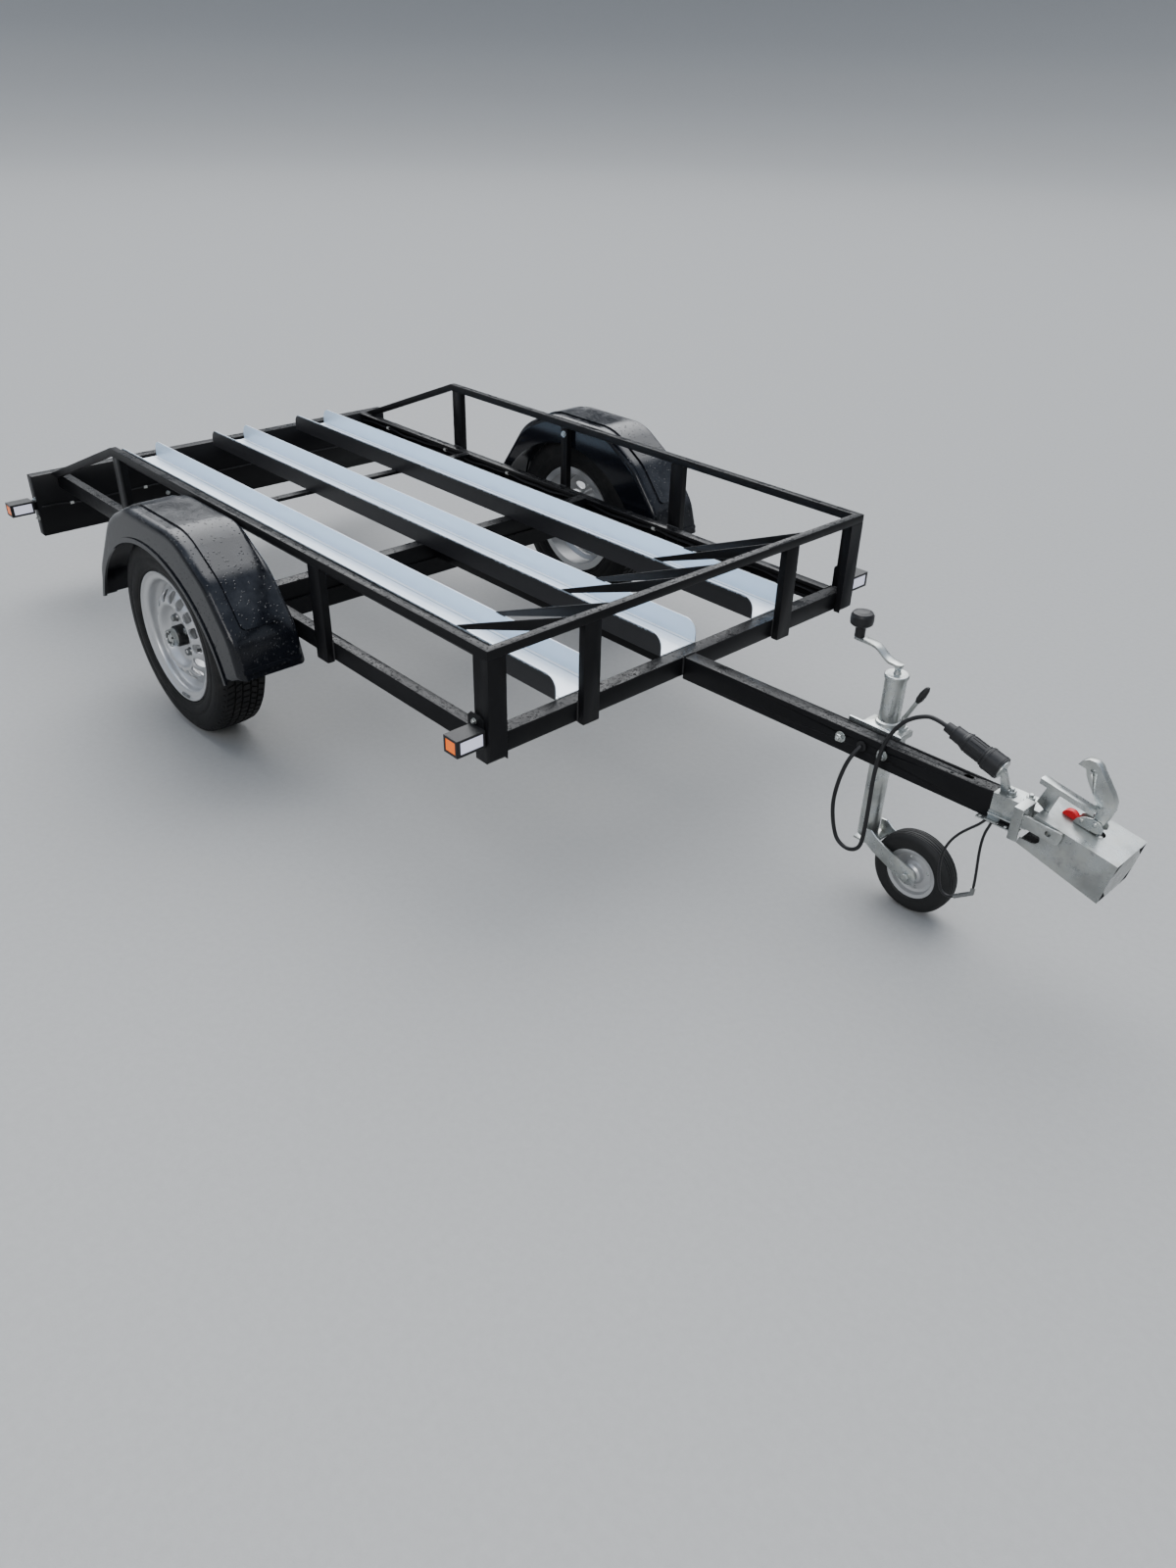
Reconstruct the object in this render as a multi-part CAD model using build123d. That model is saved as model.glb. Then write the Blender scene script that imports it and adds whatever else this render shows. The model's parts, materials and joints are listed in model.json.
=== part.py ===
from build123d import *
from math import atan2, degrees, hypot, radians, sin, tan
import os

# Single-axle motorcycle trailer, parked on its jockey wheel. Millimetres.
# Modelled about the axle: X forward to the coupling, Y to the trailer's left, Z up from the floor.
# Everything is moved at the end so that the origin is under the middle of the trailer.

# Ladder frame
FRAME_TOP = 412.0            # top of the rails, above the floor
RAIL_TALL = 50.0             # side rails and crossmembers
RAIL_THICK = 30.0
RAIL_LIP = 10.0              # folded lips of the side rails
FRAME_HALF = 629.0           # outer half width over the side rails
FRAME_FRONT = 1177.0         # front face of the front crossmember
FRAME_REAR = -1200.0         # rear end of the side rails, on the light board
CROSS_DEEP = 40.0            # front and middle crossmembers, fore and aft
TUBE_WALL = 2.5
MIDDLE_X = 130.0             # centre of the middle crossmember
TIE_X = -497.0               # centre of the flat rear tie
TIE_DEEP, TIE_TALL = 30.0, 10.0

# Drawbar
BAR_WIDE, BAR_TALL = 40.0, 60.0
BAR_WALL = 3.0
BAR_END = 2084.0             # front end, inside the coupling
BAR_RISE = 20.0              # how far the drawbar climbs from the frame to its front end
CLAMP_BOLT_DROP = 26.0       # bolts and cable hole below the drawbar's top
BOLT_R = 5.5
CABLE_HOLE_X = 1713.0
GROMMET_R = 9.0
BAR_SLOT_X = 1961.0          # spare slot in the drawbar's top
BAR_SLOT_LONG, BAR_SLOT_WIDE = 20.0, 11.0

# Guard rail and posts
GUARD_TUBE = 22.0
GUARD_TOP = 632.0
GUARD_KNEE = -619.0          # where the sides turn down at the rear
POST_WIDE, POST_THICK = 50.0, 20.0
POST_DROP = 5.0              # posts reach this far below the frame
GUARD_HALF = FRAME_HALF + POST_THICK     # the hoop lies flush with the posts
GUARD_FRONT = FRAME_FRONT + POST_THICK
POST_REAR_X = -584.0
POST_MID_X = 523.0
POST_FRONT_Y = 350.0
CORNER_CUT = 12.0            # lower outer corner of each corner post
STAY_WIDE = 30.0             # flat that carries the mudguard
STAY_X = 4.0

# Channels that carry the motorcycles
CHANNEL_WIDE, CHANNEL_TALL = 128.0, 58.0
CHANNEL_SHEET = 2.5
CHANNEL_REAR, CHANNEL_FRONT = -1158.0, 1138.0
CHANNEL_CUT = 34.0           # rounded upper corners of the flanges
CHANNEL_PITCH = 346.0
CHANNEL_ROWS = (("right", -1), ("centre", 0), ("left", 1))

# Wheel stops, two bars over each channel
STOP_REAR_X = 768.0
STOP_TALL, STOP_THICK = 35.0, 6.0

# Rear light board and its lamps
BOARD_HALF = 712.0
BOARD_LOW = 203.0
BOARD_DEEP = 40.0
BOARD_SHEET = 2.5
LAMP_LONG, LAMP_TALL = 220.0, 100.0
LAMP_INSET, LAMP_UP = 30.0, 25.0        # from the board's end and its lower edge
LENS_PROUD, LENS_RIM, LENS_ROUND = 12.0, 3.0, 8.0

# Marker lamps
MARKER_LONG, MARKER_DEEP, MARKER_TALL = 76.0, 46.0, 42.0
MARKER_LENS, MARKER_RIM = 5.0, 4.0
MARKER_FRONT_Z, MARKER_REAR_Z = 402.0, 287.0
MARKER_AHEAD = 9.0           # front lamp's face ahead of the frame
MARKER_ARM = 12.0            # rear lamps stand this far off the board's ends
PLATE_SHEET = 3.0

# Wheels
WHEEL_OUT = 96.0             # middle plane of each wheel, outside the posts
WHEEL_Y = FRAME_HALF + POST_THICK + WHEEL_OUT
TYRE_R, TYRE_HALF = 281.0, 72.0
SEAT_R = 165.0               # bead seat
FLANGE_R, RIM_HALF = 182.0, 63.0
WELL_R = 148.0
RIM_SHEET = 4.0
VENT_COUNT, VENT_RING = 16, 113.0
VENT_WIDE, VENT_LONG = 27.0, 31.0       # around the wheel and along its radius
HUB_R = 62.0
BORE_R = 30.0
STUB_R, STUB_OUT = 18.0, 46.0           # the stub ends this far outside the wheel's middle plane
CAP_R, CAP_OUT = 23.5, 75.0  # the cap ends this far outside the middle plane

# Axle
AXLE_X = 130.0               # beam ahead of the wheel centre
AXLE_SIDE = 50.0
AXLE_WALL = 5.0
ARM_THICK, ARM_TALL = 20.0, 46.0

# Mudguards: crown line from the rear end over the wheel to the front end, as x, z and corner radius
MUDGUARD_WIDE = 190.0
MUDGUARD_LINE = (
    (-398.0, 282.0, 0.0),
    (-369.0, 386.0, 150.0),
    (-236.0, 568.0, 190.0),
    (-100.0, 630.0, 170.0),
    (180.0, 630.0, 170.0),
    (316.0, 545.0, 150.0),
    (416.0, 424.0, 150.0),
    (446.0, 325.0, 0.0),
)
ARCH_SHEET = 3.0
ARCH_ROUND = 20.0            # shoulder between the crown and a skirt
CROWN_RAISE, CROWN_HALF = 5.0, 52.0
CROWN_END = (404.0, 438.0)   # the raised crown stops here, before the front end
CROWN_CORNER = 16.0
BEAD_AT = (440.0, 345.0)     # bead across the front end
BEAD_DEEP, BEAD_HALF = 10.0, 80.0
OPENING_X, OPENING_Z, OPENING_R = -8.0, 171.0, 374.0
LIP_FRONT = (340.0, 276.0)   # lines along which the skirts end, towards the wheel
LIP_REAR = (-330.0, 302.0)
RIM_BAND, RIM_PROUD = 13.0, 4.0         # band along the wheel opening

# Jockey wheel
JOCKEY_X, JOCKEY_Y = 1720.0, 60.0
POST_R, POST_LOW, POST_TOP = 24.0, 135.0, 544.0
POST_BORE = 20.5
LEG_R = 20.0
LEG_UP = 330.0               # leg inside the tube
JOCKEY_R, JOCKEY_HALF = 100.0, 25.0
JOCKEY_TRAIL = 138.0
JOCKEY_DISC_R = 62.0
FORK_SHEET = 5.0
FORK_GAP = 5.0               # between the tyre and each fork arm
FORK_ARM = (                 # outline of a fork arm: ahead of the tube's axis, above the floor
    (12.0, 166.0), (12.0, 142.0), (22.0, 128.0), (40.0, 117.0), (60.0, 109.0), (131.0, 79.0),
    (144.0, 121.0), (66.0, 147.0), (44.0, 156.0), (27.0, 168.0),
)
FORK_EYE_R = 22.0
FORK_CROWN = (-15.0, 36.0)   # plate under the leg, from its axis
PIN_R = 6.0
CLAMP_BOLTS_X = (JOCKEY_X - 64.0, JOCKEY_X + 46.0)
CLAMP_DROP, CLAMP_RISE = 52.0, 7.0      # clamp below and above the drawbar's top
CLAMP_SHEET = 6.0
CLAMP_REACH = (-76.0, 60.0)  # clamp's back plate, from the tube's axis
CLAMP_TOP = (-42.0, 58.0)    # its top flange
CLAMP_LIP = 14.0
LEVER_OUT, LEVER_TOP = 78.0, 545.0
GRIP_LONG, GRIP_R = 46.0, 8.5
CRANK_LONG, CRANK_RISE = 108.0, 26.0
CRANK_LINE = (               # crank arm: back from the tube's axis, above its root
    (0.0, 0.0), (18.0, 1.0), (28.0, 4.5), (38.0, 11.0), (48.0, 18.5), (58.0, 23.5), (70.0, 25.5),
    (CRANK_LONG, CRANK_RISE),
)

# Coupling and its anti-theft box, seen from the side as points in X and Z
COUPLING_SHEET = 4.0
COUPLING_REAR, COUPLING_JOINT, COUPLING_FRONT = 2030.0, 2114.0, 2180.0
SADDLE_TALL = 44.0
BALL_X, BALL_R = 2212.0, 25.5
BALL_DROP = 36.0             # ball's centre below the drawbar's front end
CUP_R, CUP_TALL, CUP_DROP = 36.0, 52.0, 32.0
BOX_HALF, BOX_SHEET = 61.0, 3.0
BOX_LINE = ((2114.0, 374.0), (2294.0, 327.0), (2310.0, 422.0), (2137.0, 450.0))
BOX_INSIDE = ((2090.0, 383.5), (2291.5, 331.0), (2306.5, 419.5), (2090.0, 454.5))
BOX_AHEAD = ((2280.0, 334.0), (2320.0, 323.6), (2320.0, 417.3), (2280.0, 423.8))
BOX_CORNER = 30.0            # corners cut off the front plate
SIDE_CUT_X, SIDE_CUT_Z, SIDE_CUT_R = 2145.0, 401.0, 13.0
HANDLE_CUT = (2196.0, 2240.0, 13.0)
HANDLE_HALF = 9.0
HANDLE_HOLE = (2198.0, 558.0, 4.0)
HANDLE_LINE = (
    (2222.0, 426.0), (2238.0, 426.0), (2242.0, 448.0), (2250.0, 468.0), (2256.0, 491.0),
    (2255.0, 510.0), (2245.0, 527.0), (2218.0, 560.0), (2210.0, 571.0), (2200.0, 577.0),
    (2186.0, 577.0), (2174.0, 569.0), (2168.0, 559.0), (2177.0, 557.0), (2185.0, 556.0),
    (2190.0, 541.0), (2213.0, 507.0), (2226.0, 482.0), (2223.0, 455.0),
)
STRIP_LINE = ((2116.0, 508.0), (2230.0, 487.0), (2230.0, 491.0), (2116.0, 512.0))
STRIP_EDGE = ((2116.0, 500.0), (2230.0, 479.0), (2230.0, 487.0), (2116.0, 508.0))
STRIP_LEG = ((2120.0, 460.0), (2137.0, 450.0), (2148.0, 448.5), (2161.0, 496.0), (2134.0, 502.0))
STRIP_Y, STRIP_WIDE = -30.0, 20.0
LOCK_BAR = (
    (2098.0, 418.0), (2190.0, 410.0), (2196.0, 412.0), (2201.0, 433.0), (2198.0, 440.0), (2098.0, 445.0),
)
LOCK_BAR_HOLE = (2172.0, 427.0, 6.0)
LOCK_BAR_THICK = 7.0
STRAP_X, STRAP_LOW, STRAP_TOP, STRAP_SHEET = (2098.0, 2118.0), 381.0, 455.0, 4.0
ANCHOR_X = (2007.0, 2097.0)
ANCHOR_Y = (-31.0, -8.0)

# Lighting cable, from the drawbar's near face down in a loop and up to the parked plug
CABLE_R = 4.75
PLUG_REAR, PLUG_FRONT = (1892.0, -6.0, 520.0), (2027.0, -6.0, 481.0)
HOLDER_LEG = ((2050.0, 452.0), (2036.0, 482.0), (2029.0, 482.0), (2027.0, 474.0))
GROMMET_PROUD = 3.0
LIGHT_CABLE = (
    (1713.0, -23.0, 397.8), (1706.0, -41.0, 382.0), (1698.0, -51.0, 352.0), (1691.0, -57.0, 308.0),
    (1688.0, -60.0, 262.0), (1693.0, -60.0, 220.0), (1706.6, -60.0, 177.9), (1722.0, -60.0, 161.1),
    (1744.3, -60.0, 156.1), (1765.4, -60.0, 164.9), (1777.7, -60.0, 184.2), (1779.0, -59.0, 222.0),
    (1777.0, -55.0, 262.0), (1772.0, -48.0, 304.0), (1767.0, -41.0, 348.0), (1766.0, -34.0, 392.0),
    (1770.0, -28.0, 432.0), (1782.0, -20.0, 468.0), (1802.0, -12.0, 498.0), (1831.0, -7.0, 518.0),
    (1861.0, -6.0, 528.5), (1892.0, -6.0, 520.0),
)

# Safety cable, hung as a loop from its anchor, with a clip at its lowest point
SAFETY_R = 3.0
ANCHOR_LOW = 376.0
CLIP_REAR, CLIP_FRONT, CLIP_TOP = (2010.0, -45.0, 169.0), (2046.0, -43.0, 197.0), 212.0
CLIP_R = 5.0
SAFETY_CABLE = (
    (2034.0, -36.0, 376.0), (2024.0, -37.0, 360.0), (2006.0, -39.0, 341.0), (1986.0, -42.0, 317.0),
    (1971.0, -44.0, 289.0), (1963.0, -45.0, 259.0), (1962.0, -45.0, 229.0), (1966.0, -45.0, 201.0),
    (1972.3, -45.0, 178.4), (1978.2, -45.0, 167.2), (1989.4, -45.0, 161.3), (2001.9, -45.0, 163.0),
    (2010.0, -45.0, 169.0),
)
SAFETY_RETURN = (
    (2046.0, -43.0, 212.0), (2045.0, -42.0, 230.0), (2042.0, -40.0, 256.0), (2038.0, -38.0, 286.0),
    (2036.0, -37.0, 317.0), (2038.0, -36.0, 346.0), (2043.0, -36.0, 362.0), (2046.0, -36.0, 376.0),
)

SEAT = 0.3                   # gap left between curved pieces that seat on each other
FIT = 0.05                   # radial clearance of a wheel on its shaft
SIDES = (("right", -1), ("left", 1))
pieces = {}


def bar_top(x):
    """Height of the drawbar's top, which climbs evenly from the frame."""
    return FRAME_TOP + BAR_RISE * (x - FRAME_FRONT) / (BAR_END - FRAME_FRONT)


def block(x, y, z):
    """Box between the given limits on each axis."""
    limits = [sorted(v) for v in (x, y, z)]
    return Pos(*[(a + b) / 2 for a, b in limits]) * Box(*[b - a for a, b in limits])


def tube_bar(x, y, z, along, wall):
    """Rectangular tube between the given limits, open at both ends along one axis."""
    inner = [(a - 1, b + 1) if n == along else (a + wall, b - wall) for n, (a, b) in zip("xyz", (x, y, z))]
    return block(x, y, z) - block(*inner)


def plate(points, y, thick):
    """Flat plate from points in X and Z, from y towards +Y."""
    face = make_face(Polyline(*[(px, y, pz) for px, pz in points], close=True))
    return extrude(face, amount=thick, dir=(0, 1, 0))


def sloped(x, y, below, above):
    """Slab between X and Y limits that follows the slope of the drawbar's top."""
    (x0, x1), (z0, z1) = x, [bar_top(v) for v in x]
    outline = [(x0, z0 - below), (x1, z1 - below), (x1, z1 + above), (x0, z0 + above)]
    return plate(outline, y[0], y[1] - y[0])


def rod(start, end, r):
    """Round bar between two points."""
    a, b = Vector(*start), Vector(*end)
    return Plane(origin=a, z_dir=(b - a)) * Cylinder(r, (b - a).length, align=(Align.CENTER, Align.CENTER, Align.MIN))


def drill(x, y, z, r, long):
    """Cutter for a hole along Y, centred on a point."""
    return Pos(x, y, z) * Rot(90, 0, 0) * Cylinder(r, long)


def turned(profile, axis=Axis.Y):
    """Solid turned about an axis from points of radius and height along it."""
    if axis == Axis.Y:
        points = [(r, h, 0) for r, h in profile]
    else:
        points = [(r, 0, h) for r, h in profile]
    return revolve(make_face(Polyline(*points, close=True)), axis)


def mirrored(shape, side):
    return shape if side < 0 else mirror(shape, about=Plane.XZ)


def group(*shapes):
    """One node of separate solids."""
    return Compound([solid for shape in shapes for solid in shape.solids()])


def pair(*shapes):
    """One node of solids and their mirror images."""
    return group(*shapes, *[mirrored(shape, 1) for shape in shapes])


def frame():
    low = FRAME_TOP - RAIL_TALL
    z = (low, FRAME_TOP)
    inside = FRAME_HALF - RAIL_THICK
    cross_back = FRAME_FRONT - CROSS_DEEP
    x = (FRAME_REAR, cross_back)
    hollow_y = (-FRAME_HALF + TUBE_WALL, -inside - TUBE_WALL)
    rail = block(x, (-FRAME_HALF, -inside), z)
    rail -= block((x[0] - 1, x[1] + 1), hollow_y, (low + TUBE_WALL, FRAME_TOP - TUBE_WALL))
    rail -= block((x[0] - 1, x[1] + 1), (-inside - RAIL_THICK / 2, -inside + 1), (low + RAIL_LIP, FRAME_TOP - RAIL_LIP))
    for name, side in SIDES:
        pieces[f"side_rail_{name}"] = mirrored(rail, side)
    pieces["crossmember_front"] = tube_bar((cross_back, FRAME_FRONT), (-FRAME_HALF, FRAME_HALF), z, "y", TUBE_WALL)
    middle = (MIDDLE_X - CROSS_DEEP / 2, MIDDLE_X + CROSS_DEEP / 2)
    pieces["crossmember_middle"] = tube_bar(middle, (-inside, inside), z, "y", TUBE_WALL)
    tie = (TIE_X - TIE_DEEP / 2, TIE_X + TIE_DEEP / 2)
    pieces["crossmember_rear"] = block(tie, (-inside, inside), (FRAME_TOP - TIE_TALL, FRAME_TOP))
    y = (-BAR_WIDE / 2, BAR_WIDE / 2)
    pieces["spine"] = tube_bar((middle[1], cross_back), y, z, "x", TUBE_WALL)
    bore_y = (y[0] + BAR_WALL, y[1] - BAR_WALL)
    bar = sloped((FRAME_FRONT, BAR_END), y, BAR_TALL, 0)
    bar -= sloped((FRAME_FRONT - 1, BAR_END + 1), bore_y, BAR_TALL - BAR_WALL, -BAR_WALL)
    for x in CLAMP_BOLTS_X:
        bar -= drill(x, 0, bar_top(x) - CLAMP_BOLT_DROP, BOLT_R, BAR_WIDE + 2)
    bar -= drill(CABLE_HOLE_X, y[0], bar_top(CABLE_HOLE_X) - CLAMP_BOLT_DROP, GROMMET_R, 3 * BAR_WALL)
    slot = extrude(SlotOverall(BAR_SLOT_LONG, BAR_SLOT_WIDE), amount=3 * BAR_WALL, both=True)
    pieces["drawbar"] = bar - Pos(BAR_SLOT_X, 0, bar_top(BAR_SLOT_X)) * slot


def axle():
    """Beam under the rails, with a swinging arm and stub shaft at each end."""
    z_top = FRAME_TOP - RAIL_TALL
    x = (AXLE_X - AXLE_SIDE / 2, AXLE_X + AXLE_SIDE / 2)
    pieces["axle_beam"] = tube_bar(x, (-FRAME_HALF, FRAME_HALF), (z_top - AXLE_SIDE, z_top), "y", AXLE_WALL)
    beam_z = z_top - AXLE_SIDE / 2
    length = hypot(AXLE_X, beam_z - TYRE_R)
    tilt = degrees(atan2(beam_z - TYRE_R, AXLE_X))
    outline = SlotCenterToCenter(length, ARM_TALL)
    arm = extrude(Plane.XZ * Pos(length / 2, 0) * outline, amount=ARM_THICK / 2, both=True)
    arm = Pos(0, -(FRAME_HALF + ARM_THICK / 2), TYRE_R) * Rot(0, -tilt, 0) * arm
    stub = rod((0, -(FRAME_HALF + ARM_THICK / 2), TYRE_R), (0, -(WHEEL_Y + STUB_OUT), TYRE_R), STUB_R)
    for name, side in SIDES:
        pieces[f"axle_arm_{name}"] = mirrored(arm + stub, side)


def guard_rail():
    """Hoop of square tube: two sides that slope down at the rear, joined by the front rail."""
    t = GUARD_TUBE
    slope = atan2(GUARD_TOP - FRAME_TOP, GUARD_KNEE - FRAME_REAR)
    under_knee = GUARD_KNEE + t * tan(slope / 2)
    under_end = FRAME_REAR + t / sin(slope)
    outline = [(FRAME_REAR, FRAME_TOP), (GUARD_KNEE, GUARD_TOP), (GUARD_FRONT, GUARD_TOP),
               (GUARD_FRONT, GUARD_TOP - t), (under_knee, GUARD_TOP - t), (under_end, FRAME_TOP)]
    side = plate(outline, -GUARD_HALF, t)
    front = block((GUARD_FRONT - t, GUARD_FRONT), (-GUARD_HALF + t, GUARD_HALF - t), (GUARD_TOP - t, GUARD_TOP))
    pieces["guard_rail"] = side + front + mirrored(side, 1)


def posts():
    """Uprights outside the frame: two a side, one at each corner and two across the front."""
    low, high = FRAME_TOP - RAIL_TALL - POST_DROP, GUARD_TOP - GUARD_TUBE
    z = (low, high)
    outer = FRAME_HALF + POST_THICK
    y = (-outer, -FRAME_HALF)
    half = POST_WIDE / 2
    front = FRAME_FRONT + POST_THICK
    uprights = [block((x - half, x + half), y, z) for x in (POST_REAR_X, POST_MID_X)]
    uprights.append(block((FRAME_FRONT, front), (-POST_FRONT_Y - half, -POST_FRONT_Y + half), z))
    corner = block((front - POST_WIDE, front), y, z) + block((FRAME_FRONT, front), (-outer, -outer + POST_WIDE), z)
    below = [(front - CORNER_CUT, low - 1), (front + 1, low - 1), (front + 1, low + CORNER_CUT)]
    corner -= plate(below, -outer - 1, POST_WIDE)
    for name, side in SIDES:
        pieces[f"posts_{name}"] = group(*[mirrored(shape, side) for shape in uprights])
    pieces["corner_posts"] = pair(corner)
    pieces["mudguard_stays"] = pair(block((STAY_X - STAY_WIDE / 2, STAY_X + STAY_WIDE / 2), y, z))


def channels():
    """Galvanised U channels, the flanges rounded off at both ends."""
    w, s = CHANNEL_WIDE, CHANNEL_SHEET
    z = (FRAME_TOP, FRAME_TOP + CHANNEL_TALL)
    x = (CHANNEL_REAR, CHANNEL_FRONT)
    body = block(x, (-w / 2, w / 2), z) - block((x[0] - 1, x[1] + 1), (-w / 2 + s, w / 2 - s), (z[0] + s, z[1] + 1))
    for end, inward in ((x[0], 1), (x[1], -1)):
        centre = end + inward * CHANNEL_CUT
        corner = block((end - inward, centre), (-w, w), (z[1] - CHANNEL_CUT, z[1] + 1))
        body -= corner - drill(centre, 0, z[1] - CHANNEL_CUT, CHANNEL_CUT, 3 * w)
    for name, row in CHANNEL_ROWS:
        pieces[f"channel_{name}"] = Pos(0, row * CHANNEL_PITCH, 0) * body


def wheel_stops():
    """Bars that slope from the channels' edges up to the front rail."""
    start = FRAME_TOP + CHANNEL_TALL
    end_x, end_z = GUARD_FRONT - GUARD_TUBE, GUARD_TOP
    points = [(STOP_REAR_X, start), (STOP_REAR_X + STOP_TALL, start), (end_x, end_z - STOP_TALL), (end_x, end_z)]
    inner = CHANNEL_WIDE / 2 - STOP_THICK
    rows = [row * CHANNEL_PITCH for _, row in CHANNEL_ROWS]
    bars = [plate(points, y + start, STOP_THICK) for y in rows for start in (-CHANNEL_WIDE / 2, inner)]
    pieces["wheel_stops"] = group(*bars)


def light_board():
    """Pressed channel across the rear, open to the back, with the lamps in it."""
    x = (FRAME_REAR - BOARD_DEEP, FRAME_REAR)
    s = BOARD_SHEET
    body = block(x, (-BOARD_HALF, BOARD_HALF), (BOARD_LOW, FRAME_TOP))
    body -= block((x[0] - 1, x[1] - s), (-BOARD_HALF + s, BOARD_HALF - s), (BOARD_LOW + s, FRAME_TOP - s))
    pieces["light_board"] = body
    outer = -BOARD_HALF + LAMP_INSET
    y = (outer, outer + LAMP_LONG)
    z = (BOARD_LOW + LAMP_UP, BOARD_LOW + LAMP_UP + LAMP_TALL)
    base = block((x[0] + 2, x[1] - s), y, z)
    lens = block((x[0] - LENS_PROUD, x[0] + 2), (y[0] + LENS_RIM, y[1] - LENS_RIM), (z[0] + LENS_RIM, z[1] - LENS_RIM))
    lens = fillet(lens.edges().filter_by(Axis.X), LENS_ROUND)
    pieces["rear_lamps"] = pair(base)
    pieces["rear_lenses"] = pair(lens)


def marker_lamps():
    """Side lamps: front pair on plates at the corner posts, rear pair on the board's ends."""
    post_face = -(FRAME_HALF + POST_THICK)
    front_x = FRAME_FRONT + MARKER_AHEAD
    rear_x = FRAME_REAR - MARKER_RIM
    low = MARKER_FRONT_Z - MARKER_RIM
    high = MARKER_FRONT_Z + MARKER_TALL + 27
    back = front_x - MARKER_DEEP - 14
    ahead = front_x - MARKER_RIM
    outline = [(back, low), (ahead, low), (ahead, high - 12), (ahead - 12, high), (back + 12, high), (back, high - 12)]
    bracket = plate(outline, post_face - PLATE_SHEET, PLATE_SHEET)
    arm_out = -BOARD_HALF - MARKER_ARM
    arm_z = (MARKER_REAR_Z + 8, MARKER_REAR_Z + MARKER_TALL - 8)
    arm = block((rear_x - MARKER_DEEP + 10, rear_x - 10), (arm_out, -BOARD_HALF), arm_z)
    places = (("front", front_x, post_face - PLATE_SHEET, MARKER_FRONT_Z), ("rear", rear_x, arm_out, MARKER_REAR_Z))
    lenses = {"amber": [], "white": [], "red": []}
    for place, x1, y1, z0 in places:
        x0, y0, z1 = x1 - MARKER_DEEP, y1 - MARKER_LONG, z0 + MARKER_TALL
        rim_z = (z0 + MARKER_RIM, z1 - MARKER_RIM)
        face_y = (y0 + MARKER_LENS + MARKER_RIM, y1 - MARKER_RIM)
        amber = block((x0 + MARKER_RIM, x1 - MARKER_RIM), (y0, y0 + MARKER_LENS), rim_z)
        white = block((x1 - MARKER_LENS, x1), face_y, rim_z)
        body = block((x0, x1), (y0, y1), (z0, z1)) - amber - white
        lenses["amber"].append(amber)
        lenses["white"].append(white)
        if place == "rear":
            red = block((x0, x0 + MARKER_LENS), face_y, rim_z)
            body -= red
            lenses["red"].append(red)
        pieces[f"marker_lamps_{place}"] = pair(body)
    for colour, shapes in lenses.items():
        pieces[f"marker_lenses_{colour}"] = pair(*shapes)
    pieces["marker_brackets"] = pair(bracket, arm)


def wheels():
    """Steel wheels with a ring of vents, tyres and hubs, about their own centre, outer side at -Y."""
    out, s = -RIM_HALF, RIM_SHEET
    seat, well, face = SEAT_R, WELL_R, -8.0
    barrel = [
        (FLANGE_R, out), (FLANGE_R, out + s), (seat, out + s + 2), (seat - 3, -36), (well, -24), (well, 2),
        (seat - 3, 14), (seat, RIM_HALF - s - 2), (FLANGE_R, RIM_HALF - s), (FLANGE_R, RIM_HALF),
        (seat - s - 4, RIM_HALF), (seat - s - 3, 12), (well - s, 0), (well - s, -24), (seat - s - 3, -38),
        (seat - s - 3, out),
    ]
    join = well - s / 2
    ridge = (VENT_RING - VENT_LONG / 2 - 2, VENT_RING + VENT_LONG / 2 + 3)
    crest = -46.0
    disc = [
        (join, -24), (ridge[1], crest), (ridge[0], crest), (84, -34), (70, face), (BORE_R, face),
        (BORE_R, face + s), (72, face + s), (87, -30), (ridge[0] + 1, crest + s), (ridge[1] - 1, crest + s),
        (join, -18),
    ]
    vent = extrude(Plane.XZ * SlotOverall(VENT_LONG, VENT_WIDE), amount=100, both=True)
    web = turned(disc)
    for n in range(VENT_COUNT):
        web -= Rot(0, n * 360 / VENT_COUNT, 0) * Pos(VENT_RING, 0, 0) * vent
    rim = turned(barrel) + web
    bead, tread = out + s + 4.5, TYRE_R
    tyre_half = [
        (seat + SEAT, bead + 2), (FLANGE_R + SEAT, bead), (FLANGE_R + 8, out - 3), (216, -TYRE_HALF),
        (250, -TYRE_HALF + 1), (268, -62), (tread - 3, -54), (tread, -44),
    ]
    tyre = turned(tyre_half + [(r, -y) for r, y in reversed(tyre_half)])
    bore, boss = STUB_R + FIT, BORE_R - SEAT
    stub_end = -STUB_OUT - FIT
    cap_foot = -CAP_OUT + 15
    hub = turned([
        (bore, 50), (48, 50), (48, 30), (HUB_R, 18), (HUB_R, face + s), (boss, face + s), (boss, cap_foot + 4),
        (boss - 3, cap_foot), (CAP_R, cap_foot), (CAP_R, -CAP_OUT + 4), (CAP_R - 4, -CAP_OUT), (0, -CAP_OUT),
        (0, stub_end), (bore, stub_end),
    ])
    for name, side in SIDES:
        place = Pos(0, -WHEEL_Y, TYRE_R)
        for node, shape in (("rim", rim), ("tyre", tyre), ("hub", hub)):
            pieces[f"{node}_{name}"] = mirrored(place * shape, side)


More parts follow.
